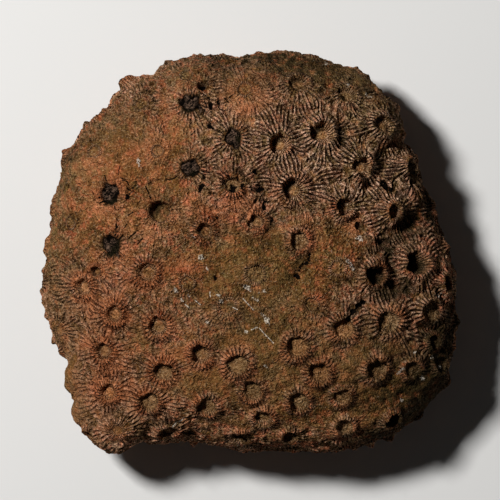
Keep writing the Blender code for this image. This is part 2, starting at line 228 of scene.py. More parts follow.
# Brick-red stain.
RED = (
    (-8, 6.7, 1.8, 1, 20, 1), (-4.9, 9.8, 1.2, 0.9, 0, 0.9), (-3.5, 6.3, 1.4, 1.2, 0, 0.7),
    (0.2, 4.2, 1.8, 0.7, 0, 0.9), (2.5, 4.7, 0.7, 1.2, 0, 0.7), (-8.8, 0.5, 0.5, 0.8, 0, 1.1),
    (-13.2, -4.2, 2, 0.6, -5, 1), (-10.6, -3.6, 1.6, 0.6, 0, 0.7), (-12.8, 9.6, 1.2, 2, 0, 0.5),
    (11.4, 2.4, 1.4, 2.6, 0, 0.8), (14.2, -6, 1.1, 0.8, 0, 0.7), (13.4, -9.6, 0.8, 1.5, 0, 1),
    (16.4, 8.6, 0.6, 1.4, 0, 0.7), (-23.6, 18.6, 1.6, 1.6, 0, 0.6),
    (-26.2, 16, 0.5, 1.6, 0, 0.9), (-20.6, -2.5, 1.6, 0.7, 0, 0.9),
    (-17.8, -12.8, 0.5, 1, 0, 1), (-33, -19.4, 1, 0.6, 0, 0.8), (-24.6, -6, 1.4, 2, 20, 0.6),
    (-30.6, -28, 1, 1.6, 0, 0.5),
)  # fmt: skip
# Pit floors are orange here.
AMBER = (
    (14, 20, 13, 9, 0, 0.8), (16, -20, 7, 7, 0, 1), (-28, -28.6, 4, 4, 0, 1),
    (-29, -12, 9, 8, 0, 0.5), (-20.4, -4.8, 4, 4, 0, 0.4),
)  # fmt: skip
# Olive, grey or brown ground.
DULL = (
    (0, -4, 13, 8, 10, 0.8),  # olive middle
    (14, 35.6, 15, 4.4, -15, 1),  # grey ledge along the top edge
    (-39.5, 2, 2.4, 24, 6, 0.8),  # grey-brown left edge
    (-36, 14, 3, 6, -20, 0.7), (-27, 24, 7, 4, 40, 0.7), (-36.5, -30, 3, 9, 0, 0.9),
    (24, 28, 9, 6, -35, 0.6), (21, 20, 5, 5, 0, 0.4), (-12, -27.5, 6, 2.4, 5, 0.8),
    (4, -17, 8, 8, -30, 0.8), (-22, -18, 2.4, 3.4, 0, 0.9), (-35, -1, 3, 2, 0, 0.6),
    (24, -24, 14, 10, 0, 0.8), (4, -29, 10, 5, 0, 0.6), (-12, 34, 6, 3, 0, 0.7),
)  # fmt: skip
# Painted shade, with some green-black and grey stain: shadows in the hollows, the gully and the
# pits, beside rims and fillings, and over the right and lower right, which face away from the
# lamp.
DARK = (
    (39.5, -24, 5, 16, -18, 1.2),  # painted shade, green-black, over the lower right, which faces away from the lamp
    (30, -37, 10, 3.6, 25, 1.2), (28, -29, 4, 1.8, 20, 0.7), (37, -17, 1.8, 2.6, 0, 0.8),
    (38, 8, 3, 14, 24, 1.3),
    (31.8, 4.8, 2.6, 3.4, -30, 1.4),  # painted shadow in the hollows between the deep calices
    (27.2, 1, 2.2, 1.5, 30, 1), (28.2, -2.2, 1, 2.2, 10, 1.1), (28.9, -8.1, 3.4, 2, 8, 1.8),
    (33, -33.4, 3, 2.4, 20, 0.9),
    (-18.8, 8.1, 1.5, 1, 50, 1.3),  # painted shadow in the pits, on the side they lean to
    (13.5, 23.8, 1.3, 0.7, 50, 1), (7.9, 12.6, 1.3, 0.7, 50, 1.1),
    (5.2, 21.5, 1.3, 0.6, 50, 0.9), (17.9, 8.9, 1.2, 0.6, 50, 1),
    (-2.4, 22, 0.6, 1.6, 0, 1.3),  # the shaded side of the fillings
    (-27.4, 9.3, 1.2, 0.5, 20, 1.3), (-26.6, 0.3, 0.9, 1.6, -30, 1.3),
    (-28, -1.2, 0.8, 0.5, 0, 1.1), (-11, 15.2, 1.2, 0.6, 30, 0.9),
    (-12.6, 27.6, 1.2, 0.5, -10, 0.9), (36, -29, 3.4, 3.6, 0, 1.6), (37, -22, 1.6, 4, -10, 0.7),
    (-7.2, -2.4, 1.4, 0.4, -5, 0.5),
    (-36.6, 18, 1.3, 2.2, -30, 0.5),  # grey-green at the left edge
    (-38, 13, 1, 2, -10, 0.4), (-27.6, 23.4, 2, 1.2, 30, 0.3), (17.9, 23, 0.8, 2.2, 0, 0.8),
    (-3, 37.6, 15, 3.4, 0, 0.4), (9, -4, 1.6, 4, -30, 0.5),
    (10, 38, 20, 5, -10, 0.5),  # along the top edge
    (24, -22, 16, 10, -10, 0.3), (2, -40, 26, 4, 0, 0.3), (4, 3.6, 1, 3, -14, 0.7),
    (-5, -15, 2.8, 0.5, 12, 0.6),  # thin stains in the rubbed middle
    (-1.6, -13.2, 2, 0.45, 40, 0.6), (-7.4, -11.3, 1.1, 0.4, 30, 0.6),
    (-4.6, -11, 1.8, 0.3, -5, 0.6),
)  # fmt: skip

# Small cavities eaten into the stone.
HOLES = (
    (-9.5, 32.2, 0.9, 0.8, 30, 1), (-7.9, 28.9, 0.45, 1.1, 0, 1), (-6.3, 29, 0.4, 1.2, 0, 1),
    (-2.2, 28, 0.5, 0.6, 0, 1), (-8.2, 25.2, 0.4, 1, 10, 1), (-7.4, 24.3, 1, 0.35, -10, 1),
    (-4.1, 24.1, 0.45, 1, -10, 1), (-9.6, 12.6, 1, 0.5, 10, 1), (-9.9, 11.8, 0.4, 0.8, 0, 1),
    (-9.2, 14.3, 0.45, 0.7, 0, 0.9), (-7.4, 10.9, 0.9, 0.4, -5, 1),
    (-5.2, 13.1, 0.4, 1.1, -15, 1), (-4.2, 14.2, 0.4, 0.5, 0, 0.9),
    (-3.4, 11.9, 0.75, 1.2, 10, 1), (-1.6, 12.6, 0.45, 0.8, 0, 1), (-2.4, 14, 0.4, 0.5, 0, 0.9),
    (1.2, 11.8, 0.8, 0.5, 0, 1), (2.3, 11.9, 0.5, 0.5, 0, 1), (1.8, 12.8, 0.4, 0.5, 0, 0.9),
    (1, 15.3, 0.8, 0.4, -30, 0.9), (1, 9.4, 0.3, 1.4, -25, 1), (-6.4, 6.4, 0.5, 1.2, -10, 0.7),
    (4.4, 5.8, 0.4, 1, -20, 0.8), (3.4, 3.6, 0.5, 0.8, 20, 0.7),
    (-6.9, -5.9, 0.45, 0.75, 0, 0.9), (3, 8.4, 0.35, 0.9, -30, 0.8),
    (-24.9, 13.7, 0.5, 0.25, 20, 1), (-24.3, 12.2, 0.25, 0.5, 0, 0.9),
    (-24.4, 10.2, 0.45, 0.9, -5, 1), (-23.4, 12, 0.9, 0.22, 35, 0.9),
    (-22.6, 11.5, 0.6, 0.2, 35, 0.9), (-23.1, 9.2, 0.25, 0.4, 0, 0.8),
    (-19.8, 13.2, 0.5, 0.55, 0, 1), (-16.8, 13.9, 0.7, 0.2, -3, 0.9),
    (-30.2, 10.3, 0.45, 0.4, 0, 1), (27.2, 12.4, 2.2, 0.9, -50, 0.7),
)  # fmt: skip
# Chalky flecks and chipped spots.
PALE = (
    (-21.8, 17.2, 0.7, 1.6, 5, 0.65), (-5.7, -10.35, 1.2, 0.35, 8, 1.4),
    (-9, -14.6, 0.8, 0.45, 0, 1.2), (-10.1, -16, 0.35, 0.7, 0, 0.8),
    (-0.9, -16.4, 0.4, 0.35, 0, 1), (-15, -8.2, 0.4, 0.8, 30, 1),
    (-13.6, -10.1, 0.4, 0.7, 40, 0.8), (-9.8, -1.6, 0.9, 0.5, 0, 1.2),
    (-11.3, 2.3, 0.6, 0.35, -40, 1.1), (-8.6, -4, 0.3, 0.6, 30, 0.9),
    (-0.4, -7.9, 1, 0.8, -30, 0.7), (2.4, -8.6, 1.4, 0.8, -30, 0.65),
    (3.2, -14, 0.6, 1.7, 45, 0.8), (3, -23.2, 0.7, 0.5, 0, 0.8), (19.6, -3, 1.3, 2.2, 0, 0.7),
    (21.6, 1.8, 0.8, 2.2, 10, 0.7), (16, -0.6, 0.9, 0.5, 0, 0.6),
    (29.4, -24.9, 0.7, 0.25, 20, 1), (30.4, -24.1, 0.6, 0.25, 35, 1),
    (31, -23.3, 0.3, 0.6, 20, 0.8), (28.6, -27.6, 0.9, 0.25, 5, 0.9),
    (30.2, -30.2, 0.6, 0.5, 0, 0.9), (36.2, -21.6, 0.3, 0.8, -30, 0.9),
    (37.8, -23.6, 0.5, 0.3, 0, 1), (37.2, -16.2, 0.6, 0.3, 30, 0.8),
    (33, -20.6, 0.5, 0.25, 40, 0.8), (25.6, -29.4, 0.5, 0.3, 0, 0.7),
    (0.6, -10.2, 1.6, 0.7, -25, 0.6), (-6.4, -9.2, 1.6, 0.3, -10, 0.7),
    (-12.2, -9.4, 0.3, 0.8, 30, 0.8), (37.6, -9.4, 0.6, 0.9, 0, 0.9),
    (40, -9.8, 0.7, 0.5, 0, 0.8), (28, -25.8, 0.7, 0.4, 0, 0.7), (34.6, -26, 0.5, 0.9, 20, 0.6),
    (15, 38, 2.2, 0.5, -10, 0.7), (19.6, 32.2, 1.2, 0.6, -50, 0.7),
    (23.8, 30.6, 1, 0.5, -40, 0.7),
)  # fmt: skip

# Cracks: (x, y) points seen from above, half width and depth.
CRACKS = (
    (((12.2, -1.0), (11.4, -2.6), (10.2, -3.6), (9.4, -5.4)), 0.26, 0.6),
    (((19.4, -14.0), (20.8, -12.6), (21.6, -11.2), (22.6, -10.6)), 0.26, 0.7),
)

# Thin dark cuts round the filled calices: start and end, seen from above.
CUTS = (
    ((-25.9, 16.7), (-26.1, 14.4)), ((-28.9, 14.6), (-28.3, 13)), ((-20.8, 12.4), (-19.6, 9.8)),
    ((-30, 9.2), (-29, 9.6)), ((-26.9, 8.8), (-26.4, 5.8)), ((-26.4, 5.8), (-26.6, 2.6)),
    ((-26, 2), (-25.2, 2.8)), ((-26.6, 2.6), (-26.2, 4.2)), ((-25.2, 4.2), (-24.4, 5)),
    ((-24.2, 6.8), (-23.3, 7.3)), ((-22.4, 1), (-21.2, 2.2)), ((-21.6, 2.2), (-20.2, 3.8)),
    ((-9.4, 30.8), (-8, 29.9)), ((-9.2, 29.8), (-8.7, 28.6)), ((-8.9, 28.2), (-9.4, 27.2)),
    ((-5, 29.8), (-4.1, 28.9)), ((-12, 26), (-12, 24.2)), ((-11.8, 22.9), (-11, 23.6)),
    ((-25.5, 14.1), (-24.2, 13.3)), ((-24.2, 13.3), (-23.9, 12.2)),
    ((-23.7, 11.2), (-22, 12.4)), ((-24.2, 10.7), (-22.8, 11.6)), ((-19.4, 13.6), (-17.4, 14)),
    ((-17.4, 14), (-15.4, 13.9)), ((-15.4, 13.9), (-14, 14.8)), ((-24, 2.3), (-22.6, 3.3)),
    ((-9.6, 15.4), (-8, 15.1)), ((2.4, 10.9), (1.8, 9.8)), ((3, 10), (2.2, 8.2)),
    ((3.7, 9.4), (2.6, 7.8)), ((0.9, 7.6), (0.4, 6.4)), ((-0.8, 6.6), (-1.9, 5.6)),
)  # fmt: skip

# Pale scratches across the rubbed middle: start and end, seen from above.
SCRATCHES = (
    ((-1.4, -9.9), (0.7, -12.2)), ((1.9, -15.8), (4.6, -18.6)),
    ((-12.9, -11.1), (-12.1, -11.8)), ((-10.9, -10.3), (-9.9, -11.1)),
    ((-8, -8.6), (-7.9, -9.5)), ((0.3, -16), (1.4, -15.6)), ((-16, -36.2), (-13, -33.8)),
    ((-3.4, -11.6), (-2.6, -12)),
)  # fmt: skip

LINE_REACH = 0.5  # cuts and scratches are worked out this far from their middle
LINE_END = 0.15  # and drawn this far beyond their ends
CUT_WIDTH, SCRATCH_WIDTH = 0.13, 0.1  # half their widths

# The curves of the head.
OUTLINE_STEPS = 12  # curve points between two outline points
OUTLINE_ANGLES = 720
PROFILE_STEPS = 200
EDGE_START, EDGE_END = 0.72, 1.0  # share of the reach over which the outline's detail comes in
SMOOTH_HARMONICS = 4  # waves round the outline that are left on the dome
CUT_DETAIL = 0.5  # how much of the outline's detail is left at the cut
FLAT_BAND = 0.8  # the septa fade out over this distance above the cut

# The grid on which the septa are worked out, and the bank of filters that shapes them.
GRID_STEP = 0.15
GRID_SIZE = 864
TURNS = 18  # directions in the bank
STRETCHES = (1.0, 1.2, 1.45, 1.75)  # septa spacings in the bank, over that on the dome
TURN_BLUR, SPACING_BLUR = 0.2, 0.14  # widths of a filter: angle in radians, log of spacing
ROUNDS = 4
LEVELLING = 2.5  # how hard a round evens out the ridges' height
SEPTA_REACH = 21.0  # a calice steers the septa this far on the map, each way
COMMON_PIT = 1.8  # radius of a pit that steers with a weight of 1
SPOKES = 26  # septa that start at a calice
SPOKE_PHASE = 1.0

# The mesh.
POINT_SPACING = 0.27
FAINT_SEPTA = 0.35  # vertices don't settle on septa weaker than this
LONGEST_MOVE = 0.6  # or further away than this
LEAST_GAP = 0.2  # vertices closer than this are thinned
EVEN_GAP = 0.4  # vertices closer than this push each other along their septum
PUSH = 0.4  # share of the missing gap that each moves
LONGEST_PUSH = 0.15
EVEN_ROUNDS = 3
SHARP_ANGLE = math.radians(75)  # edges sharper than this stay sharp
MAP_STRETCH = 1.8  # most that a length on the surface grows on the map
CUT_POINTS = 640  # points round the cut
CUT_CLEAR = 0.3  # the lattice ends this far above them
CUT_STILL = 0.7  # vertices this close to the cut don't settle on the septa
FLOOR_STILL = 0.6  # nor those within this share of a pit's radius
CAP_POINTS = 14  # points from the middle of the flat cut to its edge
CAP_REACH = 0.93  # share of the way to the edge that they cover
SKIN_UV = (0.44, 0.44, 0.43)  # middle and radius of the skin's disc on the texture
CAP_UV = (0.866, 0.866, 0.125)


def smoothstep(low, high, value):
    """0 below low, 1 above high, and a smooth rise between them."""
    t = np.clip((value - low) / (high - low), 0.0, 1.0)
    return t * t * (3 - 2 * t)


def outline_reach():
    """Angles and radii of a smooth closed curve through OUTLINE, by Catmull-Rom."""
    p = np.array(OUTLINE)
    before, after, beyond = np.roll(p, 1, 0), np.roll(p, -1, 0), np.roll(p, -2, 0)
    t = (np.arange(OUTLINE_STEPS) / OUTLINE_STEPS)[:, None, None]
    curve = 0.5 * (
        2 * p
        + (after - before) * t
        + (2 * before - 5 * p + 4 * after - beyond) * t**2
        + (3 * p - before - 3 * after + beyond) * t**3
    )
    curve = curve.transpose(1, 0, 2).reshape(-1, 2)
    angles = np.arctan2(curve[:, 1], curve[:, 0])
    order = np.argsort(angles)
    even = np.linspace(-math.pi, math.pi, OUTLINE_ANGLES, endpoint=False)
    radii = np.hypot(*curve.T)[order]
    return even, np.interp(even, angles[order], radii, period=2 * math.pi)


def profile():
    """Map radius, share of the outline's reach and height, from the top to the cut.

    The dome is a quarter of an ellipse and the flank a shorter arc of another one.
    """
    dome = np.linspace(0, math.pi / 2, PROFILE_STEPS)
    flank = np.linspace(0, UNDERCUT_TURN, PROFILE_STEPS)[1:]
    mean = REACHES.mean()
    drawn_in = UNDERCUT * (1 - np.cos(flank)) / (1 - math.cos(UNDERCUT_TURN))
    share = np.concatenate([np.sin(dome), 1 - drawn_in / mean])
    fall = WAIST_HEIGHT * np.sin(flank) / math.sin(UNDERCUT_TURN)
    height = np.concatenate([WAIST_HEIGHT + DOME_RISE * np.cos(dome), WAIST_HEIGHT - fall])
    steps = np.hypot(np.diff(share) * mean, np.diff(height))
    return np.concatenate([[0.0], np.cumsum(steps)]), share, height


def smoothed(radii):
    """Radii of the outline with only its longest waves left."""
    waves = np.fft.rfft(radii)
    waves[SMOOTH_HARMONICS + 1 :] = 0
    return np.fft.irfft(waves, len(radii))


ANGLES, REACHES = outline_reach()
SMOOTH_REACHES = smoothed(REACHES)
MAP_RADII, SHARES, HEIGHTS = profile()
MAP_WAIST = MAP_RADII[PROFILE_STEPS - 1]
MAP_CUT = MAP_RADII[-1]


def reach(angle, share, below=0.0):
    """Radius of the outline at an angle: smooth on the dome, detailed at the edge."""
    full = np.interp(angle, ANGLES, REACHES, period=2 * math.pi)
    smooth = np.interp(angle, ANGLES, SMOOTH_REACHES, period=2 * math.pi)
    detail = smoothstep(EDGE_START, EDGE_END, share) - (1 - CUT_DETAIL) * below
    return smooth + (full - smooth) * detail


def patches(x, y, spots):
    """Sum of soft elliptical spots at places seen from above.

    Each spot is its strength times exp(-(along / reach)^2 - (across / reach)^2).
    """
    total = np.zeros_like(x)
    for cx, cy, reach_x, reach_y, turn, strength in spots:
        c, s = math.cos(math.radians(turn)), math.sin(math.radians(turn))
        along, across = (x - cx) * c + (y - cy) * s, (y - cy) * c - (x - cx) * s
        total += strength * np.exp(-((along / reach_x) ** 2) - (across / reach_y) ** 2)
    return total


def ripples(points, seed, count, lengths):
    """A sum of count sine waves of seeded directions, lengths and phases, about 1 high."""
    rng = np.random.default_rng(seed)
    way = rng.normal(size=(count, 3))
    way /= np.linalg.norm(way, axis=1, keepdims=True)
    lengths = rng.uniform(*lengths, count)
    phases = rng.uniform(0, 2 * math.pi, count)
    waves = np.sin(points @ (way * (2 * math.pi / lengths)[:, None]).T + phases)
    return waves.sum(1) / math.sqrt(count / 2)


def base_points(places):
    """The undecorated surface at map places: the profile carried round the outline."""
    radius = np.hypot(places[:, 0], places[:, 1])
    angle = np.arctan2(places[:, 1], places[:, 0])
    share = np.interp(radius, MAP_RADII, SHARES)
    height = np.interp(radius, MAP_RADII, HEIGHTS)
    below = smoothstep(MAP_WAIST, MAP_CUT, radius)
    out = share * reach(angle, np.where(radius > MAP_WAIST, 1.0, share), below)
    return np.stack([out * np.cos(angle), out * np.sin(angle), height], 1)


def unit(vectors):
    """Vectors scaled to length 1."""
    return vectors / np.maximum(np.linalg.norm(vectors, axis=-1, keepdims=True), 1e-9)


def base_frame(places):
    """East, north and outward unit vectors of the base, from its two slopes on the map."""
    step = 0.05
    east = unit(base_points(places + (step, 0)) - base_points(places - (step, 0)))
    slope = base_points(places + (0, step)) - base_points(places - (0, step))
    outward = unit(np.cross(east, slope))
    return east, np.cross(outward, east), outward


def map_place(x, y):
    """Where a place seen from above lies on the map.

    Its share of the outline's reach is found by working it out again and again, since
    the reach depends a little on the share.
    """
    angle, radius = math.atan2(y, x), math.hypot(x, y)
    share = 0.5
    for _ in range(20):
        share = min(radius / float(reach(angle, share)), 1.0)
    far = float(np.interp(share, SHARES[:PROFILE_STEPS], MAP_RADII[:PROFILE_STEPS]))
    return far * math.cos(angle), far * math.sin(angle)


@dataclass
class Calice:
    """One calice: its centre on the map and on the base, and how it is kept."""

    place: np.ndarray
    centre: np.ndarray
    pit: float
    depth: float
    rim: float
    matrix: float
    fresh: float
    inward: float

    def window(self, places, far):
        """Indices of the map places that may lie within a distance of the centre."""
        return np.nonzero((np.abs(places - self.place) < far * MAP_STRETCH).all(1))[0]


def all_calices():
    """The calices of CALICES, and on the flank random ones that stand clear of the rest."""
    known = [
        (map_place(x, y), radius, kind)
        for kind, group in CALICES.items()
        for x, y, radius in group
    ]
    rng = np.random.default_rng(FLANK_SEED)
    angle = rng.uniform(0, 2 * math.pi, FLANK_TRIES)
    far = rng.uniform(MAP_WAIST - 1.0, MAP_CUT - CUT_MARGIN, FLANK_TRIES)
    radii = rng.uniform(*FLANK_RADII, FLANK_TRIES)
    tries = np.stack([far * np.cos(angle), far * np.sin(angle)], 1)
    centres = base_points(np.array([place for place, _, _ in known]))
    for place, point, radius in zip(tries, base_points(tries), radii):
        if np.linalg.norm(centres - point, axis=1).min() > FLANK_SPACING:
            known.append((tuple(place), radius, "flank"))
            centres = np.concatenate([centres, [point]])
    return [
        Calice(np.array(place), centre, radius, *KEPT[kind])
        for (place, radius, kind), centre in zip(known, centres)
    ]


@dataclass
class SeptaField:
    """The septa on the map grid: a wave whose crests are the septa.

    wave holds the wave vector at each grid point, and response the wave itself as a
    complex number, whose angle is 0 on a crest and pi in a groove.
    """

    wave: np.ndarray
    response: np.ndarray

    def at(self, places):
        """(phase, strength, wave vector) at map places, from the nearest grid point."""
        cell = np.clip(np.floor(places / GRID_STEP + GRID_SIZE / 2), 0, GRID_SIZE - 1).astype(int)
        middle = (cell + 0.5 - GRID_SIZE / 2) * GRID_STEP
        wave = self.wave[cell[:, 1], cell[:, 0]]
        response = self.response[cell[:, 1], cell[:, 0]]
        phase = np.angle(response) + ((places - middle) * wave).sum(1)
        return phase, np.abs(response), wave


def septa_waves(calices, spacing):
    """Wave vectors of the septa on the grid, and a first guess of the wave.

    A septum points away from the calices near it. Each calice adds the direction from
    its centre, as a doubled angle so that opposite directions agree, with a weight of
    pit^2 / distance^4. The septa then leave each calice like spokes, and bend over to
    meet those of the next. The wave vector is across the septum, and is carried from
    the surface to the map by the map's slopes.
    """
    axis = (np.arange(GRID_SIZE) + 0.5 - GRID_SIZE / 2) * GRID_STEP
    grid = np.stack(np.meshgrid(axis, axis), -1)
    shape = grid.shape[:2]
    base = base_points(grid.reshape(-1, 2)).reshape(*shape, 3)
    slope_v, slope_u = np.gradient(base, GRID_STEP, axis=(0, 1))
    east = unit(slope_u)
    north = np.cross(unit(np.cross(slope_u, slope_v)), east)

    doubled = np.zeros(shape, complex)
    spokes = np.zeros(shape)
    nearest = np.full(shape, np.inf)
    for calice in calices:
        low, high = (
            np.clip((calice.place + side) / GRID_STEP + GRID_SIZE / 2, 0, GRID_SIZE)
            for side in (-SEPTA_REACH, SEPTA_REACH)
        )
        box = (slice(int(low[1]), int(high[1])), slice(int(low[0]), int(high[0])))
        away = base[box] - calice.centre
        way = (away * east[box]).sum(-1) + 1j * (away * north[box]).sum(-1)
        distance = np.linalg.norm(away, axis=-1)
        weight = (calice.pit / COMMON_PIT) ** 2 / (distance**2 + 0.3) ** 2
        doubled[box] += weight * (way / np.maximum(np.abs(way), 1e-9)) ** 2
        closer = distance < nearest[box]
        spokes[box] = np.where(closer, np.cos(SPOKES * np.angle(way) + SPOKE_PHASE), spokes[box])
        nearest[box] = np.minimum(nearest[box], distance)

    turn = 0.5 * np.angle(doubled)
    across = np.cos(turn)[..., None] * north - np.sin(turn)[..., None] * east
    across *= 2 * math.pi / spacing
    wave = np.stack([(slope_u * across).sum(-1), (slope_v * across).sum(-1)], -1)
    flip = (wave[..., 1] < 0) | ((wave[..., 1] == 0) & (wave[..., 0] < 0))
    wave[flip] *= -1
    inside = np.hypot(*np.moveaxis(grid, -1, 0)) < MAP_CUT + 0.5
    return wave, spokes * inside, inside


def septa_field(calices, spacing):
    """The septa, drawn out of the first guess by a bank of directional filters.

    Each filter passes waves of about one direction and spacing. Every grid point takes
    the blend of the four filters nearest to its own wave vector. A few rounds of
    filtering and levelling turn the guess into even ridges that fork where they
    spread, as septa do.
    """
    wave, guess, inside = septa_waves(calices, spacing)
    length = np.hypot(wave[..., 0], wave[..., 1])
    bearing = np.mod(np.arctan2(wave[..., 1], wave[..., 0]), math.pi) / math.pi * TURNS
    steps = np.log(2 * math.pi / (spacing * np.array(STRETCHES)))
    stretch = np.interp(-np.log(np.maximum(length, 1e-6)), -steps, np.arange(len(steps)))

    rate = 2 * math.pi * np.fft.fftfreq(GRID_SIZE, GRID_STEP)
    rate_u, rate_v = np.meshgrid(rate, rate)
    rate_log = np.log(np.hypot(rate_u, rate_v) + 1e-9)
    rate_turn = np.arctan2(rate_v, rate_u)

    def lobe(angle):
        """How much of each direction a filter lets through, round an angle of 0."""
        return np.exp(-((np.abs(np.angle(angle)) / TURN_BLUR) ** 2) / 2)

    def filtered(pattern, analytic):
        """The pattern through the bank: real, or complex with the phase for the last round."""
        spectrum = np.fft.fft2(pattern) if analytic else np.fft.rfft2(pattern)
        half = slice(None) if analytic else slice(0, GRID_SIZE // 2 + 1)
        total = np.zeros(pattern.shape, complex if analytic else float)
        for turn in range(TURNS):
            gap = np.abs(bearing - turn)
            of_turn = np.clip(1 - np.minimum(gap, TURNS - gap), 0, 1)
            angle = np.exp(1j * (rate_turn[:, half] - turn * math.pi / TURNS))
            passed = lobe(angle) if analytic else lobe(angle) + lobe(-angle)
            for index, step in enumerate(steps):
                share = of_turn * np.clip(1 - np.abs(stretch - index), 0, 1)
                if not share.any():
                    continue
                band = passed * np.exp(-(((rate_log[:, half] - step) / SPACING_BLUR) ** 2) / 2)
                if analytic:
                    part = np.fft.ifft2(spectrum * band)
                    wrapped = (turn == 0) & (bearing > TURNS - 1)
                    total += share * np.where(wrapped, np.conj(part), part)
                else:
                    total += share * np.fft.irfft2(spectrum * band, pattern.shape)
        return total

    pattern = guess
    for _ in range(ROUNDS):
        drawn = filtered(pattern, False)
        level = np.sqrt(np.square(drawn[inside]).mean())
        pattern = np.tanh(LEVELLING * drawn / level) * inside
    response = filtered(pattern, True)
    return SeptaField(wave, response / np.median(np.abs(response[inside])))


def lattice(spacing, radius):
    """A triangular lattice of points in a disc."""
    count = int(radius // spacing) + 2
    i, j = np.meshgrid(np.arange(-count, count + 1), np.arange(-count, count + 1))
    x = spacing * (i + 0.5 * (j % 2))
    y = spacing * j * math.sqrt(3) / 2
    places = np.stack([x.ravel(), y.ravel()], 1)
    return places[np.hypot(*places.T) < radius]


def circle(radius, count):
    """Points evenly round the middle of the map."""
    a = 2 * math.pi * np.arange(count) / count
    return np.stack([radius * np.cos(a), radius * np.sin(a)], 1)


def triangles(places):
    """Delaunay triangles of places on the map, as indices of the places."""
    _, _, faces, origins, *_ = delaunay_2d_cdt(places.tolist(), [], [], 0, 1e-7)
    return np.array([origin[0] for origin in origins])[np.array(faces, int)]


def edges_of(faces):
    """Every edge of some triangles once, as two columns of indices."""
    pairs = np.sort(np.concatenate([faces[:, (0, 1)], faces[:, (1, 2)], faces[:, (2, 0)]]), 1)
    return np.unique(pairs, axis=0)


def onto_septa(places, field):
    """Places moved to the nearest crest or groove.

    A place moves along the wave vector by phase / length, which makes its phase a
    whole number of half turns. Where the wave is faint it stays.
    """
    moved = places
    for _ in range(2):
        phase, strength, wave = field.at(moved)
        rest = phase - math.pi * np.round(phase / math.pi)
        step = (rest / np.maximum(np.square(wave).sum(1), 1.0))[:, None] * wave
        moved = moved - step * (strength > FAINT_SEPTA)[:, None]
    stray = np.linalg.norm(moved - places, axis=1) > LONGEST_MOVE
    return np.where(stray[:, None], places, moved)


def skin_places(field, calices):
    """Map places for the skin's vertices, most of them on a crest or in a groove.

    Each round joins them up, drops one of any two that stand too close, and lets the
    rest push each other along their crest or groove until they are evenly spaced.
    """
    places = lattice(POINT_SPACING, MAP_CUT - CUT_CLEAR)

    def free(places):
        """Which places may move: those clear of the cut and of the pits' floors."""
        moving = np.hypot(*places.T) < MAP_CUT - CUT_STILL
        base = base_points(places)
        for calice in calices:
            near = calice.window(places, calice.pit)
            distance = np.linalg.norm(base[near] - calice.centre, axis=1)
            moving[near] &= distance > FLOOR_STILL * calice.pit
        return moving

    places = np.where(free(places)[:, None], onto_septa(places, field), places)
    for _ in range(EVEN_ROUNDS):
        edges = edges_of(triangles(places))
        gap = places[edges[:, 1]] - places[edges[:, 0]]
        length = np.linalg.norm(gap, axis=1)
        kept = np.ones(len(places), bool)
        kept[edges[(length < LEAST_GAP), 1]] = False
        push = np.clip(EVEN_GAP - length, 0, None) / np.maximum(length, 1e-6) * PUSH
        push *= kept[edges].all(1)
        shift = np.zeros_like(places)
        np.add.at(shift, edges[:, 1], push[:, None] * gap)
        np.add.at(shift, edges[:, 0], -push[:, None] * gap)
        _, _, wave = field.at(places)
        shift -= unit(wave) * (shift * unit(wave)).sum(1)[:, None]
        moved = onto_septa(places + np.clip(shift, -LONGEST_PUSH, LONGEST_PUSH), field)
        places = np.where(free(places)[:, None], moved, places)[kept]
    return places


def crack_distance(x, y, points):
    """Distance seen from above to a line through points."""
    best = np.full(x.shape, np.inf)
    for (ax, ay), (bx, by) in zip(points, points[1:]):
        run = (bx - ax) ** 2 + (by - ay) ** 2
        t = np.clip(((x - ax) * (bx - ax) + (y - ay) * (by - ay)) / run, 0, 1)
        best = np.minimum(best, np.hypot(x - ax - t * (bx - ax), y - ay - t * (by - ay)))
    return best


def thin_lines(x, y, lines):
    """Distances across and beyond the nearest of some lines seen from above, as vectors.

    The distance across has a sign, so that it runs straight through 0 over the line.
    """
    best, across, beyond = (np.full(len(x), value) for value in (LINE_REACH, LINE_REACH, 1.0))
    for (ax, ay), (bx, by) in lines:
        length = math.hypot(bx - ax, by - ay)
        along = ((x - ax) * (bx - ax) + (y - ay) * (by - ay)) / length
        aside = ((x - ax) * (by - ay) - (y - ay) * (bx - ax)) / length
        past = np.abs(along - np.clip(along, 0, length))
        gap = np.hypot(past, aside)
        closer = gap < best
        best[closer], across[closer], beyond[closer] = gap[closer], aside[closer], past[closer]
    return np.stack([across, beyond, np.zeros(len(x))], 1)


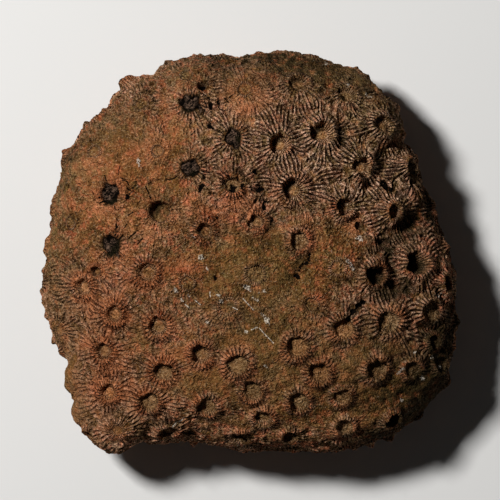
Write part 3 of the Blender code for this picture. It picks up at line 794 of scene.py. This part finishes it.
def calice_relief(places, base, frame_vectors, calices, uneven, blotch):
    """Height of the calices at map places, their masks, and q of the nearest one.

    A calice is a function of q, the distance from its centre over the pit's radius: a
    flat floor, a wall up to the rim at q = 1.1, a low ring and its outer slope down to
    q = 2.1. A filling stands in the pit as a low boss. The spokes are q times the
    direction from the centre, with the share of the surface that follows them.
    """
    count = len(places)
    names = ("pit", "floor", "soot", "matrix", "plug", "ring", "ribbed", "well")
    masks = {name: np.zeros(count) for name in names}
    height, spokes = np.zeros(count), np.zeros((count, 3))
    nearest, second = np.full(count, 9.0), np.full(count, 9.0)
    east, north, _ = frame_vectors

    def at_least(name, near, values):
        """Raise a mask to values where it is lower."""
        masks[name][near] = np.maximum(masks[name][near], values)

    for calice in calices:
        near = calice.window(places, 2.4 * calice.pit)
        away = base[near] - calice.centre
        way = np.stack([(away * east[near]).sum(1), (away * north[near]).sum(1)], 1)
        q = np.linalg.norm(away, axis=1) / calice.pit
        q = q * (1 + 0.05 * uneven[near] + (0.03 + 0.1 * calice.matrix) * blotch[near])
        edge = q + 0.04 * blotch[near]
        inside = smoothstep(1.06, 0.92, edge)

        rim = calice.rim * (1 + 0.3 * uneven[near])
        depth = calice.depth * (1 + LEAN * (unit(way) @ LEAN_WAY) * np.minimum(q, 1))
        wall, outer = smoothstep(0.84, 1.06, edge), smoothstep(2.05, 1.2, q)
        height[near] += (depth + rim) * wall - depth - rim + rim * outer
        boss = calice.matrix * smoothstep(0.85, 0.6, q + 0.12 * blotch[near])
        height[near] += 0.65 * boss

        at_least("plug", near, boss)
        at_least("pit", near, inside)
        at_least("floor", near, (0.2 + 0.8 * calice.fresh) * (1 - 0.5 * calice.inward) * inside)
        # Painted shade fills the deepest pits.
        at_least("soot", near, masks["pit"][near] * smoothstep(2.0, 2.2, calice.depth))
        at_least("matrix", near, calice.matrix * smoothstep(1.06, 0.94, q))
        band = smoothstep(0.72, 1.0, q) * smoothstep(2.15, 1.6, q)
        at_least("ring", near, calice.fresh * band)

        closer = q < nearest[near]
        second[near] = np.where(closer, nearest[near], np.minimum(second[near], q))
        nearest[near] = np.minimum(nearest[near], q)
        spokes[near[closer], :2] = (unit(way) * q[:, None])[closer]
        masks["ribbed"][near[closer]] = calice.inward
        masks["well"][near[closer]] = min(0.35 + calice.depth, 0.8) * calice.fresh

    spokes[:, 2] = smoothstep(2.0, 1.6, nearest) * smoothstep(0.0, 0.3, second - nearest)
    return height, masks | {"spokes": spokes}, nearest


def cracks(x, y, blotch):
    """Share of the surface that the cracks open, and how deep they are there."""
    share, deep = np.zeros(len(x)), np.zeros(len(x))
    for points, half_width, depth in CRACKS:
        gap = crack_distance(x, y, points) + 0.16 * blotch
        opened = smoothstep(half_width + 0.2, half_width, gap)
        share, deep = np.maximum(share, opened), np.maximum(deep, depth * opened)
    return share, deep


def skin_relief(places, base, frame_vectors, field, calices, sizes):
    """Height of the relief at map places, and masks for the finish.

    The relief is the sum of the calices, the septa, the swells and lumps, the cracks
    and cavities, and fine unevenness. Each part fades out towards the cut.
    """
    x, y = base[:, 0], base[:, 1]
    far = np.hypot(*places.T)
    dome = smoothstep(MAP_WAIST + 4, MAP_WAIST - 2, far)
    flat = smoothstep(0, FLAT_BAND, MAP_CUT - far)
    uneven, blotch = ripples(base, *UNEVEN), ripples(base, *BLOTCHES)
    grit = np.random.default_rng(GRIT_SEED).normal(size=len(places))

    phase, strength, _ = field.at(places)
    clear = smoothstep(0.15, 0.6, strength)
    ridge = 0.5 + 0.5 * np.cos(phase)
    calice_height, of_calices, nearest = calice_relief(
        places, base, frame_vectors, calices, uneven, blotch
    )
    pit, matrix, ring = (of_calices[name] for name in ("pit", "matrix", "ring"))
    crack, crack_depth = cracks(x, y, blotch)

    def spots(patch, ragged=0.0):
        """Patches on the dome from 0 to 1, with more or less ragged edges."""
        return np.clip(patches(x, y, patch) * (1 + ragged * blotch), 0, 1) * dome

    worn = np.clip(patches(x, y, WORN) * dome + 0.2 * uneven + 0.12 * (1 - dome), 0, 1)
    worn = worn * (1 - 0.85 * ring)
    bare = np.clip(patches(x, y, BARE) * dome, 0, 1)
    smooth = np.clip(patches(x, y, SMOOTH) * dome * (1 + 0.2 * uneven), 0, 1)
    keep = (1 - worn) * (1 - 0.9 * bare) * (1 - 0.85 * pit) * (1 - matrix)
    keep = np.clip(keep * flat * clear * (1 + 0.3 * blotch + 0.15 * uneven), 0, 1.1)
    eaten = spots(HOLES)
    stain = patches(x, y, ORANGE) * dome + 0.35 * uneven + 0.7 * (1 - dome)
    stain = stain * (0.4 + 0.6 * ring) + patches(x, y, STAINED) * dome
    crisp = np.clip(patches(x, y, CRISP) * dome + 0.5 * (1 - dome), 0, 1)

    height = patches(x, y, SWELLS) + LUMP_HEIGHT * ripples(base, *LUMPS) + calice_height
    height *= smoothstep(MAP_CUT, MAP_CUT - CUT_MARGIN, far)
    septa = (ridge - 0.6) * (0.08 + 0.92 * keep) * clear * (1 - matrix) * (1 + 0.4 * crisp)
    septa *= sizes.septa_height / MM * smoothstep(1.3, 1.7, nearest)
    rough = 0.16 * uneven + 0.09 * blotch + grit * (0.03 + 0.02 * worn + 0.1 * matrix)
    height += (septa + rough * (1 - 0.5 * pit)) * flat
    height -= (crack_depth + 0.6 * smoothstep(0.4, 0.7, eaten)) * flat
    masks = {
        "ridge": ridge,
        "fresh": keep,
        "pit": pit * (1 - matrix),
        "floor": of_calices["floor"] * (1 - matrix),
        "eaten": np.maximum(crack, eaten),
        "orange": np.clip(stain, 0, 2),
        "red": spots(RED, 0.4),
        "amber": spots(AMBER),
        "crisp": crisp,
        "dull": spots(DULL, 0.4) * (1 - 0.5 * ring),
        # painted shade and some stain, and painted shade in the deepest pits
        "dark": np.maximum(spots(DARK, 0.3), of_calices["soot"]),
        "pale": spots(PALE, 0.6),
        "smooth": smooth * (1 - 0.7 * ring),
        "cuts": thin_lines(x, y, CUTS),
        "scratches": thin_lines(x, y, SCRATCHES),
    }
    return height, masks | {
        name: of_calices[name] for name in ("matrix", "plug", "ribbed", "well", "spokes")
    }


def head_mesh(sizes):
    """The skin and the flat cut as one closed mesh, with its masks and texture map.

    The skin's triangles are laid out on the map and the cut's on a unit disc, where
    both are discs with the same edge, so the two close on that edge.
    """
    calices = all_calices()
    field = septa_field(calices, sizes.septa_spacing / MM)
    skin = np.concatenate([circle(MAP_CUT, CUT_POINTS), skin_places(field, calices)])
    disc = np.concatenate([circle(1.0, CUT_POINTS), lattice(1.0 / CAP_POINTS, CAP_REACH)])

    skin_faces, disc_faces = triangles(skin), triangles(disc)
    base = base_points(skin)
    frame_vectors = base_frame(skin)
    height, masks = skin_relief(skin, base, frame_vectors, field, calices, sizes)
    points = base + frame_vectors[2] * height[:, None]
    points[:CUT_POINTS] = base[:CUT_POINTS]
    points[:CUT_POINTS, 2] = 0.0

    inner = disc[CUT_POINTS:]
    edge = base_points(unit(inner) * MAP_CUT)
    inner_points = edge * np.hypot(*inner.T)[:, None] * (1, 1, 0)
    points = np.concatenate([points, inner_points])
    points[:, 1] -= MIDDLE_Y
    cap_index = np.concatenate([np.arange(CUT_POINTS), len(skin) + np.arange(len(inner))])
    faces = np.concatenate([skin_faces, cap_index[disc_faces][:, ::-1]])

    mesh = bpy.data.meshes.new("coral_skin")
    mesh.from_pydata(points * MM, [], faces)
    for name, values in masks.items():
        full = np.concatenate([values, np.zeros((len(inner), *values.shape[1:]))])
        kind, entry = ("FLOAT", "value") if full.ndim == 1 else ("FLOAT_VECTOR", "vector")
        stored = mesh.attributes.new(name, kind, "POINT").data
        stored.foreach_set(entry, full.astype(np.float32).ravel())
    on_cap = np.arange(len(faces)) >= len(skin_faces)
    mesh.polygons.foreach_set("material_index", on_cap.astype(np.int32))
    corner = faces.ravel()
    on_map = np.concatenate([skin, inner]) / MAP_CUT
    on_disc = np.concatenate([circle(1.0, CUT_POINTS), skin[CUT_POINTS:], inner])
    skin_uv = np.array(SKIN_UV[:2]) + SKIN_UV[2] * on_map
    cap_uv = np.array(CAP_UV[:2]) + CAP_UV[2] * on_disc
    uv = np.where(np.repeat(on_cap, 3)[:, None], cap_uv[corner], skin_uv[corner])
    mesh.uv_layers.new(name="OFBake").data.foreach_set("uv", uv.ravel())
    mesh.validate()
    mesh.update()
    mesh.shade_smooth()
    mesh.set_sharp_from_angle(angle=SHARP_ANGLE)
    return mesh


class Value:
    """A node's output, which can be added and multiplied like a number."""

    def __init__(self, nodes, socket):
        self.nodes, self.socket = nodes, socket

    def __add__(self, other):
        return self.nodes.math("ADD", self, other)

    def __sub__(self, other):
        return self.nodes.math("SUBTRACT", self, other)

    def __rsub__(self, other):
        return self.nodes.math("SUBTRACT", other, self)

    def __mul__(self, other):
        return self.nodes.math("MULTIPLY", self, other)

    def __truediv__(self, other):
        return self.nodes.math("DIVIDE", self, other)

    def __rtruediv__(self, other):
        return self.nodes.math("DIVIDE", other, self)


class Nodes:
    """A short way to add and join the nodes of one tree."""

    def __init__(self, tree):
        self.tree = tree

    def feed(self, socket, value):
        """Give an input a number or colour, or join a Value to it."""
        if isinstance(value, Value):
            self.tree.links.new(value.socket, socket)
        else:
            socket.default_value = value

    def add(self, kind, inputs=(), **settings):
        """A node with its settings and inputs."""
        node = self.tree.nodes.new(kind)
        for name, value in settings.items():
            setattr(node, name, value)
        for socket, value in dict(inputs).items():
            self.feed(node.inputs[socket], value)
        return node

    def value(self, output, kind, inputs=(), **settings):
        """One output of a new node."""
        return Value(self, self.add(kind, inputs, **settings).outputs[output])

    def outputs(self, kind, inputs=(), **settings):
        """The outputs of a new node by name."""
        made = self.add(kind, inputs, **settings).outputs
        return {output.name: Value(self, output) for output in made}

    def math(self, operation, a, b=0.0):
        """The result of a Math node."""
        return self.value(0, "ShaderNodeMath", {0: a, 1: b}, operation=operation)

    def blend(self, factor, a, b):
        """Value a turned into b by a factor."""
        inputs = {"Factor": factor, "A": a, "B": b}
        return self.value(0, "ShaderNodeMix", inputs, data_type="FLOAT")

    def mix(self, factor, a, b):
        """Colour a turned into b by a factor."""
        inputs = {"Factor": factor, 6: a, 7: b}  # 6 and 7 are a Mix node's colours
        return self.value(2, "ShaderNodeMix", inputs, data_type="RGBA", clamp_factor=True)

    def between(self, value, low, high):
        """0 at low and 1 at high, with a smooth rise."""
        inputs = {"Value": value, "From Min": low, "From Max": high}
        return self.value(
            "Result", "ShaderNodeMapRange", inputs, interpolation_type="SMOOTHSTEP"
        )

    def mask(self, name):
        """One of the masks stored on the mesh."""
        return self.value("Fac", "ShaderNodeAttribute", attribute_name=name)

    def vector_mask(self, name):
        """The three parts of one of the vectors stored on the mesh."""
        vector = self.value("Vector", "ShaderNodeAttribute", attribute_name=name)
        return self.outputs("ShaderNodeSeparateXYZ", {0: vector}).values()

    def bump(self, height, strength, distance):
        """Normals raised by a height."""
        inputs = {"Height": height, "Strength": strength, "Distance": distance}
        return self.value("Normal", "ShaderNodeBump", inputs)


def grain_group():
    """Grain of the stone: crystals of about one size over softer, larger blotches."""
    group = bpy.data.node_groups.new("Stone grain", "ShaderNodeTree")
    for name, default in (("Grain size", 0.0004), ("Softness", 0.6)):
        made = group.interface.new_socket(name, in_out="INPUT", socket_type="NodeSocketFloat")
        made.default_value = default
    for name in ("Grain", "Blotch", "Crystals", "Height"):
        group.interface.new_socket(name, in_out="OUTPUT", socket_type="NodeSocketFloat")

    nodes = Nodes(group)
    given = nodes.outputs("NodeGroupInput")
    place = nodes.value("Object", "ShaderNodeTexCoord")
    scale = 1.0 / given["Grain size"]
    fine = {"Vector": place, "Scale": scale, "Detail": 2.0, "Roughness": given["Softness"]}
    fine = nodes.between(nodes.value("Fac", "ShaderNodeTexNoise", fine), 0.28, 0.72)
    coarse = {"Vector": place, "Scale": scale / 5.0, "Detail": 3.0}
    coarse = nodes.between(nodes.value("Fac", "ShaderNodeTexNoise", coarse), 0.3, 0.7)
    cells = nodes.outputs("ShaderNodeTexVoronoi", {"Vector": place, "Scale": scale * 1.7})
    rare = nodes.value(0, "ShaderNodeSeparateColor", {"Color": cells["Color"]})
    crystals = nodes.between(rare, 0.84, 0.97) * nodes.between(cells["Distance"], 0.6, 0.25)
    height = fine - cells["Distance"] * 0.5
    results = {"Grain": fine, "Blotch": coarse, "Crystals": crystals, "Height": height}
    nodes.add("NodeGroupOutput", results)
    return group


def new_material(name):
    """A node material, its node helper and the inputs of its Principled shader."""
    material = bpy.data.materials.new(name)
    material.use_nodes = True
    shader = material.node_tree.nodes["Principled BSDF"]
    return material, Nodes(material.node_tree), shader.inputs


def paints(colours):
    """The colours that the user sets, by name."""
    return {name: tuple(getattr(colours, name)) for name in colours.__annotations__}


def line_mask(nodes, name, half_width):
    """1 on the thin lines of a vector mask, which are as wide as asked."""
    across, beyond, _ = nodes.vector_mask(name)
    on = nodes.math("LESS_THAN", nodes.math("ABSOLUTE", across), half_width)
    return on * nodes.math("LESS_THAN", beyond, LINE_END)


@dataclass
class Septa:
    """The septa in the finish, as values from 0 to 1 unless said otherwise."""

    ridge: Value  # 0 in a groove, 1 on a crest, with the grain in it
    fresh: Value  # how little they are worn
    ringed: Value  # how much of them is spokes of a calice
    step: Value  # height of the ring and depth of the pit that the mesh is too coarse for


def septa_pattern(nodes, grain, soil, calm):
    """The septa of the map between the calices, and spokes on a calice's wall and ring.

    A spoke's angle is the angle round the calice's centre times the number of septa.
    """
    mask = nodes.mask
    east, north, share = nodes.vector_mask("spokes")
    turn = nodes.math("ARCTAN2", north, east) * float(SPOKES) + soil["Grain"] * 1.2
    spokes = nodes.math("COSINE", turn + SPOKE_PHASE) * 0.5 + 0.5
    out = nodes.math("SQRT", east * east + north * north)
    wall = nodes.between(out + mask("ribbed") * 0.4, 0.7, 0.95)
    ringed = share * wall
    noise = (grain["Grain"] - 0.5) * 0.3 + (soil["Grain"] - 0.5) * 0.35
    ridge = nodes.blend(ringed, mask("ridge"), spokes) + noise * calm
    fresh = nodes.math("MAXIMUM", mask("fresh"), wall * mask("pit") * 0.8) * wall
    lean = east * (LEAN_WAY[0] * LEAN) + north * (LEAN_WAY[1] * LEAN) + 1.0
    step = nodes.between(out, 0.8, 1.0) * nodes.between(out, 1.95, 1.05)
    return Septa(ridge, fresh, ringed, step * mask("well") * share * lean)


def ground_colour(nodes, paint, septa, grain, soil, tint, calm):
    """Colour of the bare stone: stained crests, painted shade in the grooves, pit floors, grain
    and a painted lightening of the crisp patches.
    """
    mask, mix = nodes.mask, nodes.mix
    crisp, ringed = mask("crisp"), septa.ringed
    still = 1.0 - mask("smooth") * 0.85
    ochre = mix(soil["Grain"], paint["worn"], paint["worn_light"])
    colour = mix(septa.fresh, ochre, paint["ridge"])
    rust = nodes.between(tint["Grain"], 0.5, 0.9) * (still * (crisp * -0.45 + 0.7))
    colour = mix(rust, colour, paint["rust"])
    olive = nodes.between(tint["Grain"], 0.5, 0.1) * (still * 0.5 + 0.25)
    colour = mix(olive, colour, paint["dull"])
    stain = mask("orange") + (soil["Blotch"] - 0.5) * 0.7
    colour = mix(nodes.between(stain, 0.0, 1.5), colour, paint["orange"])
    colour = mix(mask("dull") * 0.7, colour, paint["dull"])
    red = mask("red") * (grain["Grain"] * 0.7 + 0.4)
    colour = mix(red * 0.8, colour, paint["rust"])
    floor = mix(mask("amber"), paint["floor"], paint["amber"])
    colour = mix(mask("floor") * 0.75, colour, floor)

    # Painted shade in the grooves: narrow where they are rubbed, and wide and black where they are
    # crisp.
    rubbed = (1.0 - septa.fresh) * (mask("smooth") * 0.2 + 0.5)
    wide = ringed * 0.04 + crisp * (soil["Blotch"] * 0.2 - 0.06)
    groove = nodes.between(septa.ridge + rubbed, wide + 0.46, wide * 0.5 + 0.04)
    dark = (crisp * 0.3 + ringed * 0.3 + 0.5) * (1.0 - mask("smooth") * 0.3)
    colour = mix(groove * dark, colour, paint["groove"])

    # Dark grains are redder and light grains paler.
    grit = (grain["Grain"] - 0.5) * (crisp * 0.5 + 1.3)
    large = (soil["Blotch"] - 0.5) * 0.6 + (tint["Grain"] - 0.5) * 0.5
    # The crisp patches are lifted by up to a quarter: painted light on the side that the lamp
    # leaves darker.
    shade = grit * calm + large * still + (crisp * 0.26 + 1.0)
    red_shade = nodes.math("MAXIMUM", shade, 0.15)
    shades = (red_shade, *(nodes.math("POWER", red_shade, power) for power in (1.3, 1.6)))
    shades = nodes.value(0, "ShaderNodeCombineXYZ", dict(enumerate(shades)))
    colour = nodes.value(0, "ShaderNodeVectorMath", {0: colour, 1: shades}, operation="MULTIPLY")
    return mix(grain["Crystals"] * calm * 0.6, colour, paint["pale"])


def skin_material(colours, sizes, group):
    """Iron-stained limestone: orange ridges, painted shade in the grooves, rubbed, filled and
    scratched places.
    """
    material, nodes, shader = new_material("stained_limestone")
    paint, mask, mix = paints(colours), nodes.mask, nodes.mix
    grain, soil, tint = (
        nodes.outputs("ShaderNodeGroup", given, node_tree=group)
        for given in (
            {"Grain size": 0.0004, "Softness": 0.7},
            {"Grain size": 0.0012, "Softness": 0.6},
            {"Grain size": 0.0021, "Softness": 0.8},
        )
    )
    calm = 1.0 - mask("smooth") * 0.45
    septa = septa_pattern(nodes, grain, soil, calm)
    colour = ground_colour(nodes, paint, septa, grain, soil, tint, calm)

    # What lies on the stone: fillings, painted shade with some stain, painted shadow in cavities,
    # cracks and cuts, chalk and scratches.
    lit = nodes.between(soil["Grain"] * 0.5 + grain["Grain"] * 0.8, 0.3, 1.15)
    matrix = mix(mask("plug") * lit, paint["matrix"], paint["matrix_light"])
    colour = mix(mask("matrix"), colour, matrix)
    # Painted shade over the dark mask, with some green-black stain.
    colour = mix(mask("dark") * 0.82, colour, paint["damp"])
    cuts = line_mask(nodes, "cuts", CUT_WIDTH) * nodes.between(soil["Grain"], 0.0, 0.5)
    ragged = (soil["Grain"] - 0.5) * 0.7 + (grain["Grain"] - 0.5) * 0.4
    eaten = nodes.between(mask("eaten") + ragged, 0.5, 0.62)
    eaten = nodes.math("MAXIMUM", eaten, cuts)
    # Cavities, cracks and cuts are painted near-black: painted shadow in them.
    colour = mix(eaten, colour, paint["matrix"])
    scratches = line_mask(nodes, "scratches", SCRATCH_WIDTH)
    chalk = nodes.math("MAXIMUM", mask("pale"), scratches * 1.2)
    chalk = nodes.between(chalk * (grain["Grain"] * 1.2 + 0.45), 0.55, 1.0)
    colour = mix(chalk * 0.8, colour, paint["chalk"])

    relief = nodes.between(septa.ridge, 0.0, 0.65) * (septa.fresh * 0.93 + 0.07)
    relief = relief * (sizes.septa_height / MM)
    relief = relief * (mask("crisp") * 0.7 + septa.ringed * 0.4 + 1.7)
    rough_stone = grain["Height"] * 0.35 + soil["Height"] * 0.55
    relief = relief + rough_stone * (calm + mask("matrix") * 1.5)
    relief = relief + septa.step - cuts * 0.3
    nodes.feed(shader["Base Color"], colour)
    nodes.feed(shader["Roughness"], 0.9 - grain["Crystals"] * 0.35)
    nodes.feed(shader["Specular IOR Level"], 0.05)
    nodes.feed(shader["Normal"], nodes.bump(relief, 1.0, MM))
    return material


def cut_material(colours, group):
    """The flat cut underneath: duller, finer stone with the stain seeping in."""
    material, nodes, shader = new_material("cut_limestone")
    paint = paints(colours)
    given = {"Grain size": 0.0006, "Softness": 0.7}
    grain = nodes.outputs("ShaderNodeGroup", given, node_tree=group)
    seeping = nodes.between(grain["Blotch"], 0.3, 0.8) * 0.8
    colour = nodes.mix(seeping, paint["dull"], paint["ridge"])
    flecks = nodes.between(grain["Crystals"], 0.0, 1.0) * 0.5
    nodes.feed(shader["Base Color"], nodes.mix(flecks, colour, paint["pale"]))
    nodes.feed(shader["Roughness"], 0.85)
    nodes.feed(shader["Normal"], nodes.bump(grain["Height"], 0.4, 0.1 * MM))
    return material


def colour_property(name, description, default):
    """A colour that the user can change."""
    return bpy.props.FloatVectorProperty(
        name=name, description=description, default=(*default, 1.0),
        size=4, min=0, max=1, subtype="COLOR",
    )  # fmt: skip


class CoralSizes(bpy.types.PropertyGroup):
    """Sizes of the fine relief."""

    septa_spacing: bpy.props.FloatProperty(
        name="Septa spacing", description="From one septum to the next, on the dome",
        default=0.0008, min=0.0005, max=0.002, precision=5, unit="LENGTH",
    )  # fmt: skip
    septa_height: bpy.props.FloatProperty(
        name="Septa height", description="From the groove to the crest where the septa are fresh",
        default=0.00045, min=0.0, max=0.001, precision=5, unit="LENGTH",
    )  # fmt: skip


class CoralColours(bpy.types.PropertyGroup):
    """Colours of the stone."""

    ridge: colour_property("Ridge", "Crests of the septa", (0.45, 0.245, 0.138))
    orange: colour_property("Orange", "Where the iron stain is strongest", (0.36, 0.118, 0.045))
    rust: colour_property("Rust", "Red flecks in the ground", (0.4, 0.092, 0.036))
    # Painted shade in the grooves between the septa.
    groove: colour_property("Groove", "Grooves between the septa", (0.014, 0.004, 0.001))
    worn: colour_property("Rubbed", "Rubbed places", (0.14, 0.064, 0.018))
    worn_light: colour_property(
        "Rubbed, light", "Lighter blotches of rubbed places", (0.27, 0.12, 0.034)
    )
    floor: colour_property("Pit floor", "Floors of the calices", (0.24, 0.135, 0.058))
    amber: colour_property("Amber", "Stained floors of the calices", (0.43, 0.18, 0.065))
    dull: colour_property("Dull", "Grey-olive edges and hollows", (0.13, 0.078, 0.024))
    pale: colour_property("Fleck", "Pale crystals in the grain", (0.6, 0.42, 0.27))
    # Painted shade, with some green-black stain, laid over the dark mask.
    damp: colour_property("Damp", "Green-black stain", (0.018, 0.015, 0.005))
    # Also the near-black painted shadow in cavities, cracks and cuts.
    matrix: colour_property("Matrix", "Dark filling of calices and cracks", (0.004, 0.002, 0.001))
    matrix_light: colour_property(
        "Matrix, light", "Lighter grains of the filling", (0.27, 0.16, 0.105)
    )
    chalk: colour_property("Chalk", "Scratches and chipped spots", (0.68, 0.59, 0.48))


class CoralStage(bpy.types.PropertyGroup):
    """Floor, lights and camera."""

    floor: colour_property("Floor", "The plain floor", (0.72, 0.71, 0.69))
    key_power: bpy.props.FloatProperty(
        name="Key light", description="Power of the raking light from the upper left",
        default=7.0, min=0, unit="POWER",
    )  # fmt: skip
    key_bearing: bpy.props.FloatProperty(
        name="Key bearing", description="Where the key light stands, anticlockwise from +X",
        default=math.radians(146), subtype="ANGLE",
    )  # fmt: skip
    key_height: bpy.props.FloatProperty(
        name="Key height", description="Angle of the key light above the floor",
        default=math.radians(54), min=0, max=math.radians(90), subtype="ANGLE",
    )  # fmt: skip
    room_light: bpy.props.FloatProperty(
        name="Room light", description="Strength of the soft light from all round",
        default=0.018, min=0,
    )  # fmt: skip
    lens: bpy.props.FloatProperty(
        name="Lens", description="Focal length of the camera in millimetres",
        default=1000.0, min=20,
    )  # fmt: skip


class CORAL_OT_head(bpy.types.Operator):
    """Make the finished head, which stands for the plain solid"""

    bl_idname = "coral.head"
    bl_label = "Make the coral head"

    def execute(self, context):
        colours, sizes = context.scene.coral_colours, context.scene.coral_sizes
        group = grain_group()
        head = bpy.data.objects.new("coral_skin", head_mesh(sizes))
        head.data.materials.append(skin_material(colours, sizes, group))
        head.data.materials.append(cut_material(colours, group))
        context.scene.collection.objects.link(head)
        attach(head, "root")
        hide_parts(HEAD)
        return {"FINISHED"}


class CORAL_OT_stage(bpy.types.Operator):
    """Lay the floor, set the lights and place the camera above the head"""

    bl_idname = "coral.stage"
    bl_label = "Set the stage"

    PIXEL = 0.2 * MM  # what one pixel of the render covers at the widest line
    PIXELS = 500
    MIDDLE_PIXEL = (250.0, 249.0)  # where the outline's own middle lies in the render
    SENSOR = 36.0
    KEY_DISTANCE = 0.75
    KEY_SIZE = 0.12
    FLOOR_REACH = 4.0  # from the middle of the floor to each side

    def execute(self, context):
        stage = context.scene.coral_stage
        mesh = bpy.data.meshes.new("floor")
        corners = [
            (x * self.FLOOR_REACH, y * self.FLOOR_REACH, 0)
            for x, y in ((-1, -1), (1, -1), (1, 1), (-1, 1))
        ]
        mesh.from_pydata(corners, [], [(0, 1, 2, 3)])
        floor = bpy.data.objects.new("floor", mesh)
        material, nodes, shader = new_material("plain_floor")
        nodes.feed(shader["Base Color"], tuple(stage.floor))
        nodes.feed(shader["Roughness"], 0.9)
        mesh.materials.append(material)
        context.scene.collection.objects.link(floor)

        # The key light stands off from the head's middle and faces it.
        middle = Vector((0, 0, WAIST_HEIGHT * MM))
        turn = Euler((0, -stage.key_height, stage.key_bearing)).to_matrix()
        away = turn @ Vector((self.KEY_DISTANCE, 0, 0))
        lamp = bpy.data.lights.new("key", "AREA")
        lamp.energy, lamp.size = stage.key_power, self.KEY_SIZE
        key = bpy.data.objects.new("key", lamp)
        key.location = middle + away
        key.rotation_euler = (middle - key.location).to_track_quat("-Z", "Y").to_euler()
        context.scene.collection.objects.link(key)

        world = bpy.data.worlds.new("room")
        world.use_nodes = True
        backdrop = world.node_tree.nodes["Background"]
        backdrop.inputs["Color"].default_value = (1, 1, 1, 1)
        backdrop.inputs["Strength"].default_value = stage.room_light
        context.scene.world = world
        context.scene.view_settings.view_transform = "Standard"

        camera = bpy.data.objects.new("camera", bpy.data.cameras.new("camera"))
        camera.data.lens, camera.data.sensor_width = stage.lens, self.SENSOR
        distance = self.PIXELS * self.PIXEL * stage.lens / self.SENSOR
        left, down = (self.PIXEL * (0.5 * self.PIXELS - value) for value in self.MIDDLE_PIXEL)
        camera.location = (left, -down - MIDDLE_Y * MM, middle.z + distance)
        camera.data.clip_start, camera.data.clip_end = 0.01, 20.0
        context.scene.collection.objects.link(camera)
        context.scene.camera = camera
        return {"FINISHED"}


class CORAL_PT_panel(bpy.types.Panel):
    """Buttons and settings of the coral head"""

    bl_label = "Coral head"
    bl_idname = "CORAL_PT_panel"
    bl_space_type = "VIEW_3D"
    bl_region_type = "UI"
    bl_category = "Coral"

    def draw(self, context):
        layout = self.layout
        for operator in (CORAL_OT_head, CORAL_OT_stage):
            layout.operator(operator.bl_idname)
        for name in GROUPS:
            group, box = getattr(context.scene, name), layout.box()
            for setting in group.__annotations__:
                box.prop(group, setting)


CLASSES = (CoralSizes, CoralColours, CoralStage, CORAL_OT_head, CORAL_OT_stage, CORAL_PT_panel)
GROUPS = {"coral_sizes": CoralSizes, "coral_colours": CoralColours, "coral_stage": CoralStage}


def register():
    """Add the settings, the operators and the panel."""
    for made in CLASSES:
        bpy.utils.register_class(made)
    for name, group in GROUPS.items():
        setattr(bpy.types.Scene, name, bpy.props.PointerProperty(type=group))


def unregister():
    """Take them away again."""
    for name in GROUPS:
        delattr(bpy.types.Scene, name)
    for made in reversed(CLASSES):
        bpy.utils.unregister_class(made)


def main():
    """Make the head and the stage."""
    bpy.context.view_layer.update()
    register()
    bpy.ops.coral.head()
    bpy.ops.coral.stage()


if __name__ == "__main__":
    main()
